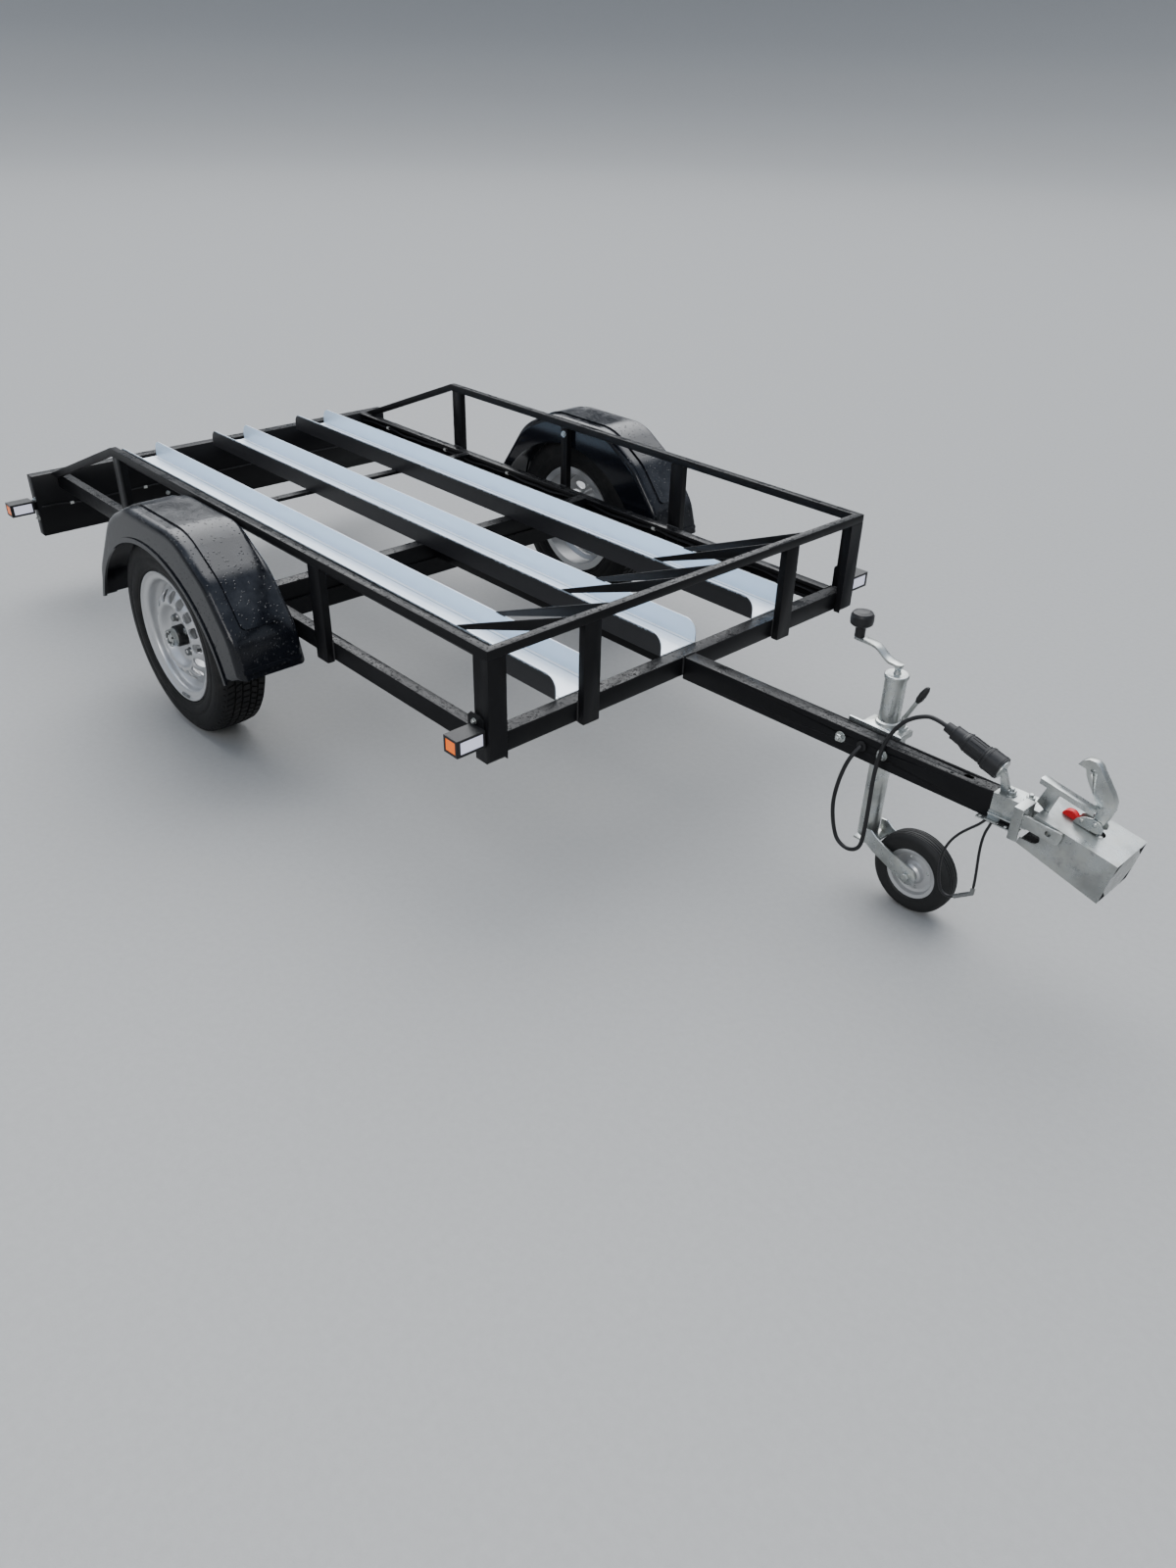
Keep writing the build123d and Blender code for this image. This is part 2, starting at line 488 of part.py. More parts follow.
def shifted_line(line, inward, reach):
    """Points of the line moved inward by a distance, its two ends lengthened by a reach."""
    spans = []
    for (x0, z0, _), (x1, z1, _) in zip(line, line[1:]):
        long = hypot(x1 - x0, z1 - z0)
        dx, dz = (x1 - x0) / long, (z1 - z0) / long
        spans.append((x0 + dz * inward, z0 - dx * inward, dx, dz, long))
    first, last = spans[0], spans[-1]
    points = [(first[0] - reach * first[2], first[1] - reach * first[3])]
    for (ax, az, adx, adz, _), (bx, bz, bdx, bdz, _) in zip(spans, spans[1:]):
        along = ((bx - ax) * bdz - (bz - az) * bdx) / (adx * bdz - adz * bdx)
        points.append((ax + adx * along, az + adz * along))
    end = last[4] + reach
    points.append((last[0] + last[2] * end, last[1] + last[3] * end))
    return points


def arch(inward, half, shoulder, reach=0.0):
    """Solid under the mudguard's crown line, its two long upper edges rounded."""
    points = shifted_line(MUDGUARD_LINE, inward, reach)
    radii = [r - inward for _, _, r in MUDGUARD_LINE[1:-1]]
    crown = FilletPolyline(*[(x, -half, z) for x, z in points], radius=radii)
    below = [points[-1], LIP_FRONT, (OPENING_X, OPENING_Z), LIP_REAR, points[0]]
    closing = Polyline(*[(x, -half, z) for x, z in below])
    body = extrude(make_face(crown + closing), amount=2 * half, dir=(0, 1, 0))
    if shoulder:
        along = [e for e in body.edges() if abs(abs(e.center().Y) - half) < 0.01 and on_crown(e, points)]
        body = fillet(along, shoulder)
    return body


def on_crown(edge, points):
    """Whether an edge lies on the crown line, not on the lines that close it below."""
    middle = edge @ 0.5
    return hypot(middle.X - OPENING_X, middle.Z - OPENING_Z) > OPENING_R + 25


def across_front(at, before, after, half, corner):
    """Block square to the crown near a point of it, from a distance before it to one after."""
    (ax, az, _), (bx, bz, _) = MUDGUARD_LINE[5:7] if at[1] > MUDGUARD_LINE[6][1] else MUDGUARD_LINE[6:8]
    down = degrees(atan2(az - bz, bx - ax))
    body = Pos((after - before) / 2, 0, 0) * Box(before + after, 2 * half, 80)
    if corner:
        ends = body.edges().filter_by(Axis.Z).group_by(Axis.X)[-1]
        body = fillet(ends, corner)
    return Pos(at[0], 0, at[1]) * Rot(0, down, 0) * body


def raised_crown(inward, inset):
    """Solid of the raised crown, which ends in rounded corners before the mudguard's front end."""
    half = CROWN_HALF - inset
    ahead = across_front(CROWN_END, 0, 400, CROWN_HALF + 5, 0)
    keep = across_front(CROWN_END, 60, -inset, half, CROWN_CORNER - inset)
    band = arch(inward, half, 0, 60 if inset else 0)
    return band - across_front(CROWN_END, 60, 400, CROWN_HALF + 5, 0) + (band & keep - ahead)


def mudguards():
    """Moulded arch with a raised crown, rounded shoulders and skirts cut to the wheel opening."""
    half, t = MUDGUARD_WIDE / 2, ARCH_SHEET
    bead = across_front(BEAD_AT, BEAD_DEEP / 2, BEAD_DEEP / 2, BEAD_HALF, 0)
    shell = arch(0, half, ARCH_ROUND) + raised_crown(-CROWN_RAISE, 0) + (arch(-CROWN_RAISE, BEAD_HALF, 0) & bead)
    opening = drill(OPENING_X, 0, OPENING_Z, OPENING_R, 3 * MUDGUARD_WIDE)
    band = drill(OPENING_X, 0, OPENING_Z, OPENING_R + RIM_BAND, 3 * MUDGUARD_WIDE)
    shell += arch(1, half + RIM_PROUD, 0) & band & Pos(0, -half, 0) * Box(2000, 2 * t + 2 * RIM_PROUD, 2000)
    hollow = arch(t, half - t, ARCH_ROUND - t, 60) + raised_crown(t - CROWN_RAISE, t)
    shell = shell - hollow - opening
    centre = FRAME_HALF + POST_THICK + SEAT + half
    for name, side in SIDES:
        pieces[f"mudguard_{name}"] = mirrored(Pos(0, -centre, 0) * shell, side)


def jockey_clamp():
    """Pressed clamp behind the drawbar, with its lever and grip."""
    x, y = JOCKEY_X, JOCKEY_Y
    bar_face = BAR_WIDE / 2
    reach = (x + CLAMP_REACH[0], x + CLAMP_REACH[1])
    low, high = bar_top(x) - CLAMP_DROP, bar_top(x) + CLAMP_RISE
    top = (x + CLAMP_TOP[0], x + CLAMP_TOP[1])
    over = (bar_face, y + 10)
    clamp = block(reach, (bar_face, bar_face + CLAMP_SHEET), (low, high))
    clamp += block(top, over, (high - CLAMP_SHEET, high))
    clamp += block((top[1] - CLAMP_SHEET, top[1]), over, (high - CLAMP_LIP, high))
    clamp += Pos(x, y, (low + high + 5) / 2) * Cylinder(POST_R + 5, high + 5 - low)
    clamp += block((x - 20, x + 20), (bar_face + 2, y), (low, high))
    ear_x, ear_low = x + POST_R + 13, low + 14
    clamp += block((x, ear_x + 9), (y - 8, y + 8), (ear_low, high + 6))
    clamp -= Pos(x, y, high) * Cylinder(POST_R + SEAT, 2 * POST_TOP)
    for bolt in CLAMP_BOLTS_X:
        clamp -= drill(bolt, bar_face, bar_top(bolt) - CLAMP_BOLT_DROP, BOLT_R, 40)
    pieces["jockey_clamp"] = clamp
    root, bend = Vector(ear_x, y, high + 6), Vector(ear_x, y, high + 26)
    tip = Vector(x + LEVER_OUT, y, LEVER_TOP)
    lever = rod(root, bend, 6) + Pos(*bend) * Sphere(6) + rod(bend, tip, 5)
    ahead = (tip - bend).normalized()
    grip = turned([
        (0, 0), (GRIP_R - 3, 0), (GRIP_R - 0.5, GRIP_LONG * 0.2), (GRIP_R, GRIP_LONG * 0.5),
        (GRIP_R - 2, GRIP_LONG * 0.85), (GRIP_R - 5, GRIP_LONG), (0, GRIP_LONG + 1),
    ], Axis.Z)
    pieces["clamp_handle"] = lever + Plane(origin=tip - ahead * (GRIP_LONG - 4), z_dir=ahead) * grip


def jockey():
    """Jockey wheel: outer tube, crank, leg with its fork, and a small solid-tyred wheel."""
    x, y = JOCKEY_X, JOCKEY_Y
    tube = Pos(x, y, (POST_LOW + POST_TOP) / 2) * Cylinder(POST_R, POST_TOP - POST_LOW)
    tube -= Pos(x, y, (POST_LOW + POST_TOP) / 2 - 10) * Cylinder(POST_BORE, POST_TOP - POST_LOW)
    cap = Pos(x, y, POST_TOP + 4) * Cylinder(POST_R + 3, 8)
    pieces["jockey_tube"] = tube + fillet(cap.edges().group_by(Axis.Z)[-1], 3)
    neck = POST_TOP + 8
    arm_z = neck + 18
    half, t = 11.0, 6.0
    crank = Pos(x, y, neck) * turned([(0, 0), (9, 0), (7, 6), (7, 10), (half, 18), (half, 24), (0, 24)], Axis.Z)
    for (a, b), (c, d) in zip(CRANK_LINE, CRANK_LINE[1:]):
        span = [(x - a, arm_z + b), (x - c, arm_z + d), (x - c, arm_z + d + t), (x - a, arm_z + b + t)]
        crank += plate(span, y - half, 2 * half)
    knob_x, knob_z = x - CRANK_LONG, arm_z + CRANK_RISE
    pieces["crank"] = crank + Pos(knob_x, y, knob_z + t / 2) * Cylinder(half, t)
    knob = turned([
        (0, 0), (11.5, 0), (11.5, 24), (19, 26), (25, 31), (26, 40), (25.5, 50), (22, 56), (14, 59), (0, 60),
    ], Axis.Z)
    pieces["crank_knob"] = Pos(knob_x, y, knob_z + t) * knob
    leg_low = POST_LOW - 1
    pieces["jockey_leg"] = Pos(x, y, leg_low + LEG_UP / 2) * Cylinder(LEG_R, LEG_UP)
    pivot_x, pivot_z = x + JOCKEY_TRAIL, JOCKEY_R
    arm_in = JOCKEY_HALF + FORK_GAP
    outline = [(x + ahead, height) for ahead, height in FORK_ARM]
    crown_x = (x + FORK_CROWN[0], x + FORK_CROWN[1])
    fork = block(crown_x, (y - arm_in - FORK_SHEET, y + arm_in + FORK_SHEET), (leg_low - FORK_SHEET, leg_low))
    for inner in (y - arm_in - FORK_SHEET, y + arm_in):
        fork += plate(outline, inner, FORK_SHEET)
        fork += drill(pivot_x, inner + FORK_SHEET / 2, pivot_z, FORK_EYE_R, FORK_SHEET)
    pin_end = arm_in + FORK_SHEET + 5
    fork += rod((pivot_x, y - pin_end, pivot_z), (pivot_x, y + pin_end, pivot_z), PIN_R)
    pieces["jockey_fork"] = fork
    place = Pos(pivot_x, y, pivot_z)
    disc_r, eye = JOCKEY_DISC_R, PIN_R + FIT
    half_disc = [
        (eye, -26), (14, -26), (20, -24), (25, -20), (28, -12), (30, -9), (44, -8), (50, -10), (54, -18), (disc_r, -20),
    ]
    pieces["jockey_rim"] = place * turned(half_disc + [(r, -h) for r, h in reversed(half_disc)])
    h = JOCKEY_HALF
    half_tyre = [(disc_r + FIT, -20), (disc_r + 7, -h + 1), (pivot_z - 12, -h), (pivot_z - 3, -17), (pivot_z, -8)]
    pieces["jockey_tyre"] = place * turned(half_tyre + [(r, -v) for r, v in reversed(half_tyre)])


def lock_box():
    """Zinc box around the coupling, its front plate cut off at the corners."""
    half, inner = BOX_HALF, BOX_HALF - BOX_SHEET
    box = plate(BOX_LINE, -half, 2 * half) - plate(BOX_INSIDE, -inner, 2 * inner)
    ahead = plate(BOX_AHEAD, -inner, 2 * inner)
    (low_x, low_z), (high_x, high_z) = BOX_LINE[1:3]
    for side in (-1, 1):
        for corner_z, inward in ((low_z, 1), (high_z, -1)):
            points = [
                (side * half, corner_z), (side * (inner - BOX_CORNER), corner_z),
                (side * half, corner_z + inward * (BOX_CORNER + BOX_SHEET)),
            ]
            face = make_face(Polyline(*[(low_x - 20, y, z) for y, z in points], close=True))
            box -= extrude(face, amount=high_x - low_x + 40, dir=(1, 0, 0)) & ahead
    x, z, r = SIDE_CUT_X, SIDE_CUT_Z, SIDE_CUT_R
    box -= block((x - 50, x), (-half - 1, -inner + 1), (z - r, z + r)) + drill(x, -half, z, r, 4 * BOX_SHEET)
    start, end, r = HANDLE_CUT
    cut_z = (bar_top(BAR_END) - 4, STRAP_TOP)
    cut = Pos(end, 0, sum(cut_z) / 2) * Cylinder(r, cut_z[1] - cut_z[0])
    return box - block((start, end), (-r, r), cut_z) - cut


def coupling():
    """Pressed coupling on the drawbar's end, shut in an anti-theft box that hangs nose down."""
    half, s, top = BAR_WIDE / 2, COUPLING_SHEET, bar_top(BAR_END)
    rear, joint_x, front = COUPLING_REAR, COUPLING_JOINT, COUPLING_FRONT
    saddle = sloped((rear, joint_x), (-half - s, half + s), SADDLE_TALL, s)
    saddle -= sloped((rear - 1, joint_x + 1), (-half, half), SADDLE_TALL + 1, 0)
    head_side = [(joint_x, top - 30), (front, top - SADDLE_TALL), (front, top + s), (joint_x, top + s)]
    head = plate(head_side, -half - s, 2 * (half + s))
    head -= block((joint_x - 1, front - s), (-half, half), (top - BAR_TALL, top))
    cup = Pos(BALL_X, 0, top - CUP_DROP) * Cylinder(CUP_R, CUP_TALL)
    socket = Pos(BALL_X, 0, top - BALL_DROP) * Sphere(BALL_R)
    socket += Pos(BALL_X, 0, top - BALL_DROP - 30) * Cylinder(BALL_R, 60)
    pieces["coupling_head"] = saddle + (head + cup - socket)
    pieces["lock_box"] = lock_box()
    x, z, r = HANDLE_HOLE
    handle = plate(HANDLE_LINE, -HANDLE_HALF, 2 * HANDLE_HALF)
    pieces["coupling_handle"] = handle - drill(x, 0, z, r, 4 * HANDLE_HALF)
    strip = plate(STRIP_LINE, STRIP_Y, STRIP_WIDE) + plate(STRIP_EDGE, STRIP_Y, s) + plate(STRIP_LEG, STRIP_Y, s)
    pieces["lock_strip"] = strip
    x, z, r = LOCK_BAR_HOLE
    bar_out = -BOX_HALF - LOCK_BAR_THICK
    bar = plate(LOCK_BAR, bar_out, LOCK_BAR_THICK) - drill(x, bar_out, z, r, 4 * LOCK_BAR_THICK)
    t, out = STRAP_SHEET, bar_out - STRAP_SHEET
    strap = block(STRAP_X, (out, bar_out), (STRAP_LOW, STRAP_TOP))
    strap += block(STRAP_X, (out, -half - s), (STRAP_TOP - t, STRAP_TOP))
    strap += block(STRAP_X, (-half - s - t, -half - s), (top - 20, STRAP_TOP))
    pieces["lock_bracket"] = bar + strap
    anchor_x = (rear, rear + 26)
    anchor = block(anchor_x, (-half - 20, -half - s), (ANCHOR_LOW, ANCHOR_LOW + 4))
    pieces["safety_anchor"] = anchor + block(anchor_x, (-half - s - 3, -half - s), (ANCHOR_LOW, ANCHOR_LOW + 18))
    strap = sloped(ANCHOR_X, ANCHOR_Y, BAR_TALL + 3, -BAR_TALL)
    for n in range(5):
        x = ANCHOR_X[0] + 7 + n * 19
        strap -= Pos(x, ANCHOR_Y[0] + 6, bar_top(x) - BAR_TALL) * Cylinder(3.5, 20)
    pieces["anchor_strap"] = strap


def plug():
    """Seven-pin plug parked in its holder on the coupling."""
    start, end = Vector(*PLUG_REAR), Vector(*PLUG_FRONT)
    ahead = (end - start).normalized()
    long = (end - start).length
    profile = [
        (0, 0), (11, 0), (12, 18), (16, 22), (17, 44), (20, 52), (20, 98), (25, 104), (25, long), (0, long),
    ]
    body = turned(profile, Axis.Z)
    pieces["plug"] = Plane(origin=start, z_dir=ahead) * body
    disc = rod(end, end + ahead * 4, 20)
    root = [(x, bar_top(x) + COUPLING_SHEET) for x in (COUPLING_REAR + 6, COUPLING_REAR + 26)]
    leg = plate(root + list(HOLDER_LEG), -10, 8)
    pieces["plug_holder"] = disc + leg


def cord(points, r):
    """Round cord of straight runs joined by arcs as large as the runs allow."""
    turns = []
    for a, b, c in zip(points, points[1:], points[2:]):
        before, after = Vector(*b) - Vector(*a), Vector(*c) - Vector(*b)
        shorter = min(before.length, after.length)
        turns.append(0.45 * shorter / tan(radians(before.get_angle(after)) / 2))
    path = FilletPolyline(*points, radius=turns)
    start = Plane(origin=points[0], z_dir=Vector(*points[1]) - Vector(*points[0]))
    return sweep(start * Circle(r), path=path)


def cables():
    """Lighting cable and safety cable, with the grommet and the clip that they come to."""
    hole_z = bar_top(CABLE_HOLE_X) - CLAMP_BOLT_DROP
    face = -BAR_WIDE / 2
    grommet = rod((CABLE_HOLE_X, face + BAR_WALL, hole_z), (CABLE_HOLE_X, face - GROMMET_PROUD, hole_z), GROMMET_R - SEAT)
    grommet += rod((CABLE_HOLE_X, face, hole_z), (CABLE_HOLE_X, face - GROMMET_PROUD, hole_z), GROMMET_R + 3)
    pieces["cable_grommet"] = grommet
    pieces["light_cable"] = cord(LIGHT_CABLE, CABLE_R)
    pieces["safety_cable"] = cord(SAFETY_CABLE, SAFETY_R)
    pieces["safety_cable_return"] = cord(SAFETY_RETURN, SAFETY_R)
    x, y, z = CLIP_FRONT
    clip = rod(CLIP_REAR, CLIP_FRONT, CLIP_R) + Pos(x, y, z) * Sphere(CLIP_R) + rod(CLIP_FRONT, (x, y, CLIP_TOP), CLIP_R)
    pieces["safety_clip"] = clip


frame()
axle()
guard_rail()
posts()
channels()
wheel_stops()
light_board()
marker_lamps()
wheels()
mudguards()
jockey_clamp()
jockey()
coupling()
plug()
cables()

CORDS = ("light_cable", "safety_cable", "safety_cable_return")
extent = Compound([shape for node, shape in pieces.items() if node not in CORDS]).bounding_box()
shift = -(extent.min.X + extent.max.X) / 2

os.makedirs("parts", exist_ok=True)
for node, shape in pieces.items():
    export_step(Pos(shift, 0, 0) * shape, f"parts/{node}.step")
print(len(pieces), "pieces, moved along X by", round(shift, 3))
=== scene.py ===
import json
import random
from math import cos, pi, radians, sin, tau

import bmesh
import bpy
from mathutils import Matrix, Vector


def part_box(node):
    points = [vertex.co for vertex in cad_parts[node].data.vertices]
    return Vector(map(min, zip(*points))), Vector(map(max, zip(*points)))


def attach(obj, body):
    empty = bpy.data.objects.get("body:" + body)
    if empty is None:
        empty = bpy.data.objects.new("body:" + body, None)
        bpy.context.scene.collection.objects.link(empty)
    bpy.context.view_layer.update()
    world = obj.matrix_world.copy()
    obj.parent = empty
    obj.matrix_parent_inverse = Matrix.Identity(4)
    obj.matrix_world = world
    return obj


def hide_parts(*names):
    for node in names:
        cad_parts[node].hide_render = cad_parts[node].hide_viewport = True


# Finish of the motorcycle trailer. Metres, +X to the coupling, +Y to the trailer's left, +Z up.

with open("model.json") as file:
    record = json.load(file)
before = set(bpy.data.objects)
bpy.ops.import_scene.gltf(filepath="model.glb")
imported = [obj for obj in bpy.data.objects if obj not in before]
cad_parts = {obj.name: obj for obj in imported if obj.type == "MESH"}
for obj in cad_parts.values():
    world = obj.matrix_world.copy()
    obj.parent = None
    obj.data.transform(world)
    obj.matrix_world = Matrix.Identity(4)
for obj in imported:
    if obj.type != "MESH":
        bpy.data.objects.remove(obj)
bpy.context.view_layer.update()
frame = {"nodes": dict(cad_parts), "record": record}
nodes = frame["nodes"]
chance = random.Random(7)

# The photograph's camera: 1200 x 1600 pixels, its place in the trailer's frame and its three angles
FOCAL_PX, LONG_SIDE_PX = 1169.7, 1600.0
CAMERA_AT = (2.343, -1.952, 1.671)
AZIMUTH, ELEVATION, ROLL = radians(-46.37), radians(32.63), radians(-1.48)

# Sizes that the scene shares with the frame
AXLE_X = sum(c[0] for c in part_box("tyre_right")) / 2
RAIL_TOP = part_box("side_rail_right")[1].z
CHANNEL_PITCH = 0.346
CHANNEL_HALF = 0.064
CABLE_R, SAFETY_R = 0.00475, 0.003
SHIFT = -0.529               # from the points' own origin at the axle to the trailer's middle


def point(x, y, z):
    """A place in millimetres from the axle, as metres in the trailer's frame."""
    return Vector((x / 1000 + SHIFT, y / 1000, z / 1000))


# Camera, floor and light

def aim_camera():
    ahead = Vector((sin(AZIMUTH) * cos(ELEVATION), cos(AZIMUTH) * cos(ELEVATION), -sin(ELEVATION)))
    right = Vector((cos(AZIMUTH), -sin(AZIMUTH), 0))
    down = ahead.cross(right)
    across = right * cos(ROLL) + down * sin(ROLL)
    below = down * cos(ROLL) - right * sin(ROLL)
    data = bpy.data.cameras.new("camera")
    data.sensor_width = 36
    data.lens = FOCAL_PX / LONG_SIDE_PX * data.sensor_width
    data.clip_start, data.clip_end = 0.05, 300
    camera = bpy.data.objects.new("camera", data)
    turn = Matrix((across, -below, -ahead)).transposed().to_4x4()
    camera.matrix_world = Matrix.Translation(CAMERA_AT) @ turn
    bpy.context.scene.collection.objects.link(camera)
    bpy.context.scene.camera = camera


def add_panel(name, at, toward, size, watts, colour):
    data = bpy.data.lights.new(name, "AREA")
    data.shape, data.size, data.size_y = "RECTANGLE", size[0], size[1]
    data.energy, data.color = watts, colour
    light = bpy.data.objects.new(name, data)
    turn = (Vector(toward) - Vector(at)).to_track_quat("-Z", "Y").to_matrix().to_4x4()
    light.matrix_world = Matrix.Translation(at) @ turn
    bpy.context.scene.collection.objects.link(light)


def light_scene():
    """Overcast sky: dark near the ground, pale above it, bluer overhead, brightest behind the trailer."""
    world = bpy.data.worlds.new("sky")
    bpy.context.scene.world = world
    world.use_nodes = True
    tree = world.node_tree

    def link(source, kind, slot, **values):
        node = tree.nodes.new(kind)
        for key, value in values.items():
            setattr(node, key, value)
        tree.links.new(source, node.inputs[slot])
        return node

    way = tree.nodes.new("ShaderNodeTexCoord").outputs["Generated"]
    ramp = link(link(way, "ShaderNodeSeparateXYZ", 0).outputs["Z"], "ShaderNodeValToRGB", 0)
    stops = ramp.color_ramp.elements
    ground, haze, zenith = (0.10, 0.10, 0.105, 1), (0.46, 0.50, 0.56, 1), (0.34, 0.43, 0.58, 1)
    for where, colour in ((0.02, ground), (0.34, haze)):
        stops.new(where).color = colour
    stops[0].color, stops[-1].color = ground, zenith
    glow = link(way, "ShaderNodeVectorMath", 0, operation="DOT_PRODUCT")
    glow.inputs[1].default_value = Vector((-0.44, 0.36, 0.82)).normalized()
    lobe = link(glow.outputs["Value"], "ShaderNodeMapRange", 0, interpolation_type="SMOOTHSTEP")
    lobe.inputs["From Min"].default_value, lobe.inputs["From Max"].default_value = 0.68, 1.0
    lobe.inputs["To Max"].default_value = 4.4
    both = link(ramp.outputs[0], "ShaderNodeMix", 6, data_type="RGBA", blend_type="ADD")
    both.inputs[0].default_value = 1.0
    tree.links.new(lobe.outputs[0], both.inputs[7])
    tree.links.new(both.outputs[2], tree.nodes["Background"].inputs["Color"])
    tree.nodes["Background"].inputs["Strength"].default_value = 1.5
    add_panel("side_panel", (3.2, -4.6, 3.6), (0.4, 0, 0.3), (3.0, 2.0), 110, (1.0, 0.98, 0.95))


def lay_floor():
    """Pale floor, flat for eighteen metres around, then curved up to close the view."""
    mesh = bmesh.new()
    profile = (              # radius and height
        (5, 0), (12, 0), (18, 0), (20, 0.08), (22, 0.35), (24, 0.9), (26, 1.9), (27.5, 3.4), (28.4, 5.6), (28.8, 11),
    )
    turns = 96
    last = [mesh.verts.new((0, 0, 0))] * turns
    for r, z in profile:
        ring = [mesh.verts.new((r * cos(tau * n / turns), r * sin(tau * n / turns), z)) for n in range(turns)]
        for n in range(turns):
            corners = (last[n - 1], ring[n - 1], ring[n], last[n])
            mesh.faces.new(list(dict.fromkeys(corners)))
        last = ring
    data = bpy.data.meshes.new("floor")
    mesh.to_mesh(data)
    mesh.free()
    data.shade_smooth()
    floor = bpy.data.objects.new("floor", data)
    bpy.context.scene.collection.objects.link(floor)
    s = Shader("floor_pale")
    grain = s.noise(60, 6, 0.6)
    s.put("Base Color", s.mix(grain, (0.255, 0.255, 0.25), (0.30, 0.30, 0.295)))
    s.put("Roughness", 0.9)
    s.bump(s.noise(350, 4, 0.7), 0.0006)
    data.materials.append(s.mat)


# Material helper

class Shader:
    """A principled material with helpers that add and link nodes. Positions are in the trailer's frame."""

    def __init__(self, name):
        self.mat = bpy.data.materials.new(name)
        self.mat.use_nodes = True
        self.tree = self.mat.node_tree
        self.tree.nodes.clear()
        out = self.add("ShaderNodeOutputMaterial")
        self.shade = self.add("ShaderNodeBsdfPrincipled")
        self.tree.links.new(self.shade.outputs[0], out.inputs[0])
        self.place = self.add("ShaderNodeTexCoord").outputs["Object"]
        self.normal = None

    def add(self, kind, **values):
        node = self.tree.nodes.new(kind)
        for key, value in values.items():
            setattr(node, key, value)
        return node

    def feed(self, socket, value):
        if isinstance(value, bpy.types.NodeSocket):
            self.tree.links.new(value, socket)
        elif socket.type == "RGBA" and not isinstance(value, tuple):
            socket.default_value = (value, value, value, 1.0)
        elif socket.type == "RGBA":
            socket.default_value = (*value, 1.0)
        else:
            socket.default_value = value

    def put(self, name, value):
        self.feed(self.shade.inputs[name], value)

    def math(self, operation, *values):
        node = self.add("ShaderNodeMath", operation=operation)
        for socket, value in zip(node.inputs, values):
            self.feed(socket, value)
        return node.outputs[0]

    def stretched(self, scale):
        node = self.add("ShaderNodeMapping")
        self.feed(node.inputs["Vector"], self.place)
        self.feed(node.inputs["Scale"], scale)
        return node.outputs[0]

    def noise(self, scale, detail=2.0, rough=0.5, stretch=None):
        node = self.add("ShaderNodeTexNoise")
        self.feed(node.inputs["Vector"], self.stretched(stretch) if stretch else self.place)
        self.feed(node.inputs["Scale"], scale)
        self.feed(node.inputs["Detail"], detail)
        self.feed(node.inputs["Roughness"], rough)
        return node.outputs["Fac"]

    def cells(self, scale, output="Distance"):
        node = self.add("ShaderNodeTexVoronoi")
        self.feed(node.inputs["Vector"], self.place)
        self.feed(node.inputs["Scale"], scale)
        return node.outputs[output]

    def step(self, value, low, high, to_low=0.0, to_high=1.0):
        node = self.add("ShaderNodeMapRange", interpolation_type="SMOOTHSTEP")
        numbers = (value, low, high, to_low, to_high)
        for name, number in zip(("Value", "From Min", "From Max", "To Min", "To Max"), numbers):
            self.feed(node.inputs[name], number)
        return node.outputs[0]

    def mix(self, factor, a, b):
        node = self.add("ShaderNodeMix", data_type="RGBA")
        self.feed(node.inputs["Factor"], factor)
        colours = [socket for socket in node.inputs if socket.type == "RGBA"]
        self.feed(colours[0], a)
        self.feed(colours[1], b)
        return [socket for socket in node.outputs if socket.type == "RGBA"][0]

    def axis(self, which, of="place"):
        source = self.place if of == "place" else self.add("ShaderNodeNewGeometry").outputs["Normal"]
        split = self.add("ShaderNodeSeparateXYZ")
        self.feed(split.inputs[0], source)
        return split.outputs[which]

    def facing(self, centre):
        """How far a surface turns toward a place, in metres."""
        away = self.add("ShaderNodeVectorMath", operation="SUBTRACT")
        self.feed(away.inputs[0], tuple(centre))
        self.feed(away.inputs[1], self.place)
        dot = self.add("ShaderNodeVectorMath", operation="DOT_PRODUCT")
        self.feed(dot.inputs[0], away.outputs[0])
        self.feed(dot.inputs[1], self.add("ShaderNodeNewGeometry").outputs["Normal"])
        return dot.outputs["Value"]

    def facing_up(self, low=0.55, high=0.9):
        return self.step(self.axis("Z", "normal"), low, high)

    def bump(self, height, distance):
        node = self.add("ShaderNodeBump")
        self.feed(node.inputs["Height"], height)
        self.feed(node.inputs["Distance"], distance)
        if self.normal:
            self.feed(node.inputs["Normal"], self.normal)
        self.normal = node.outputs[0]
        self.put("Normal", self.normal)

    def droplets(self, scale, mask, share=0.5):
        """Height of water beads: round bumps in part of the cells, under a mask."""
        bead = self.step(self.cells(scale), 0.42, 0.12)
        which = self.step(self.cells(scale, output="Color"), 1 - share, 1 - share + 0.05)
        return self.math("MULTIPLY", self.math("MULTIPLY", bead, which), mask)


# Materials

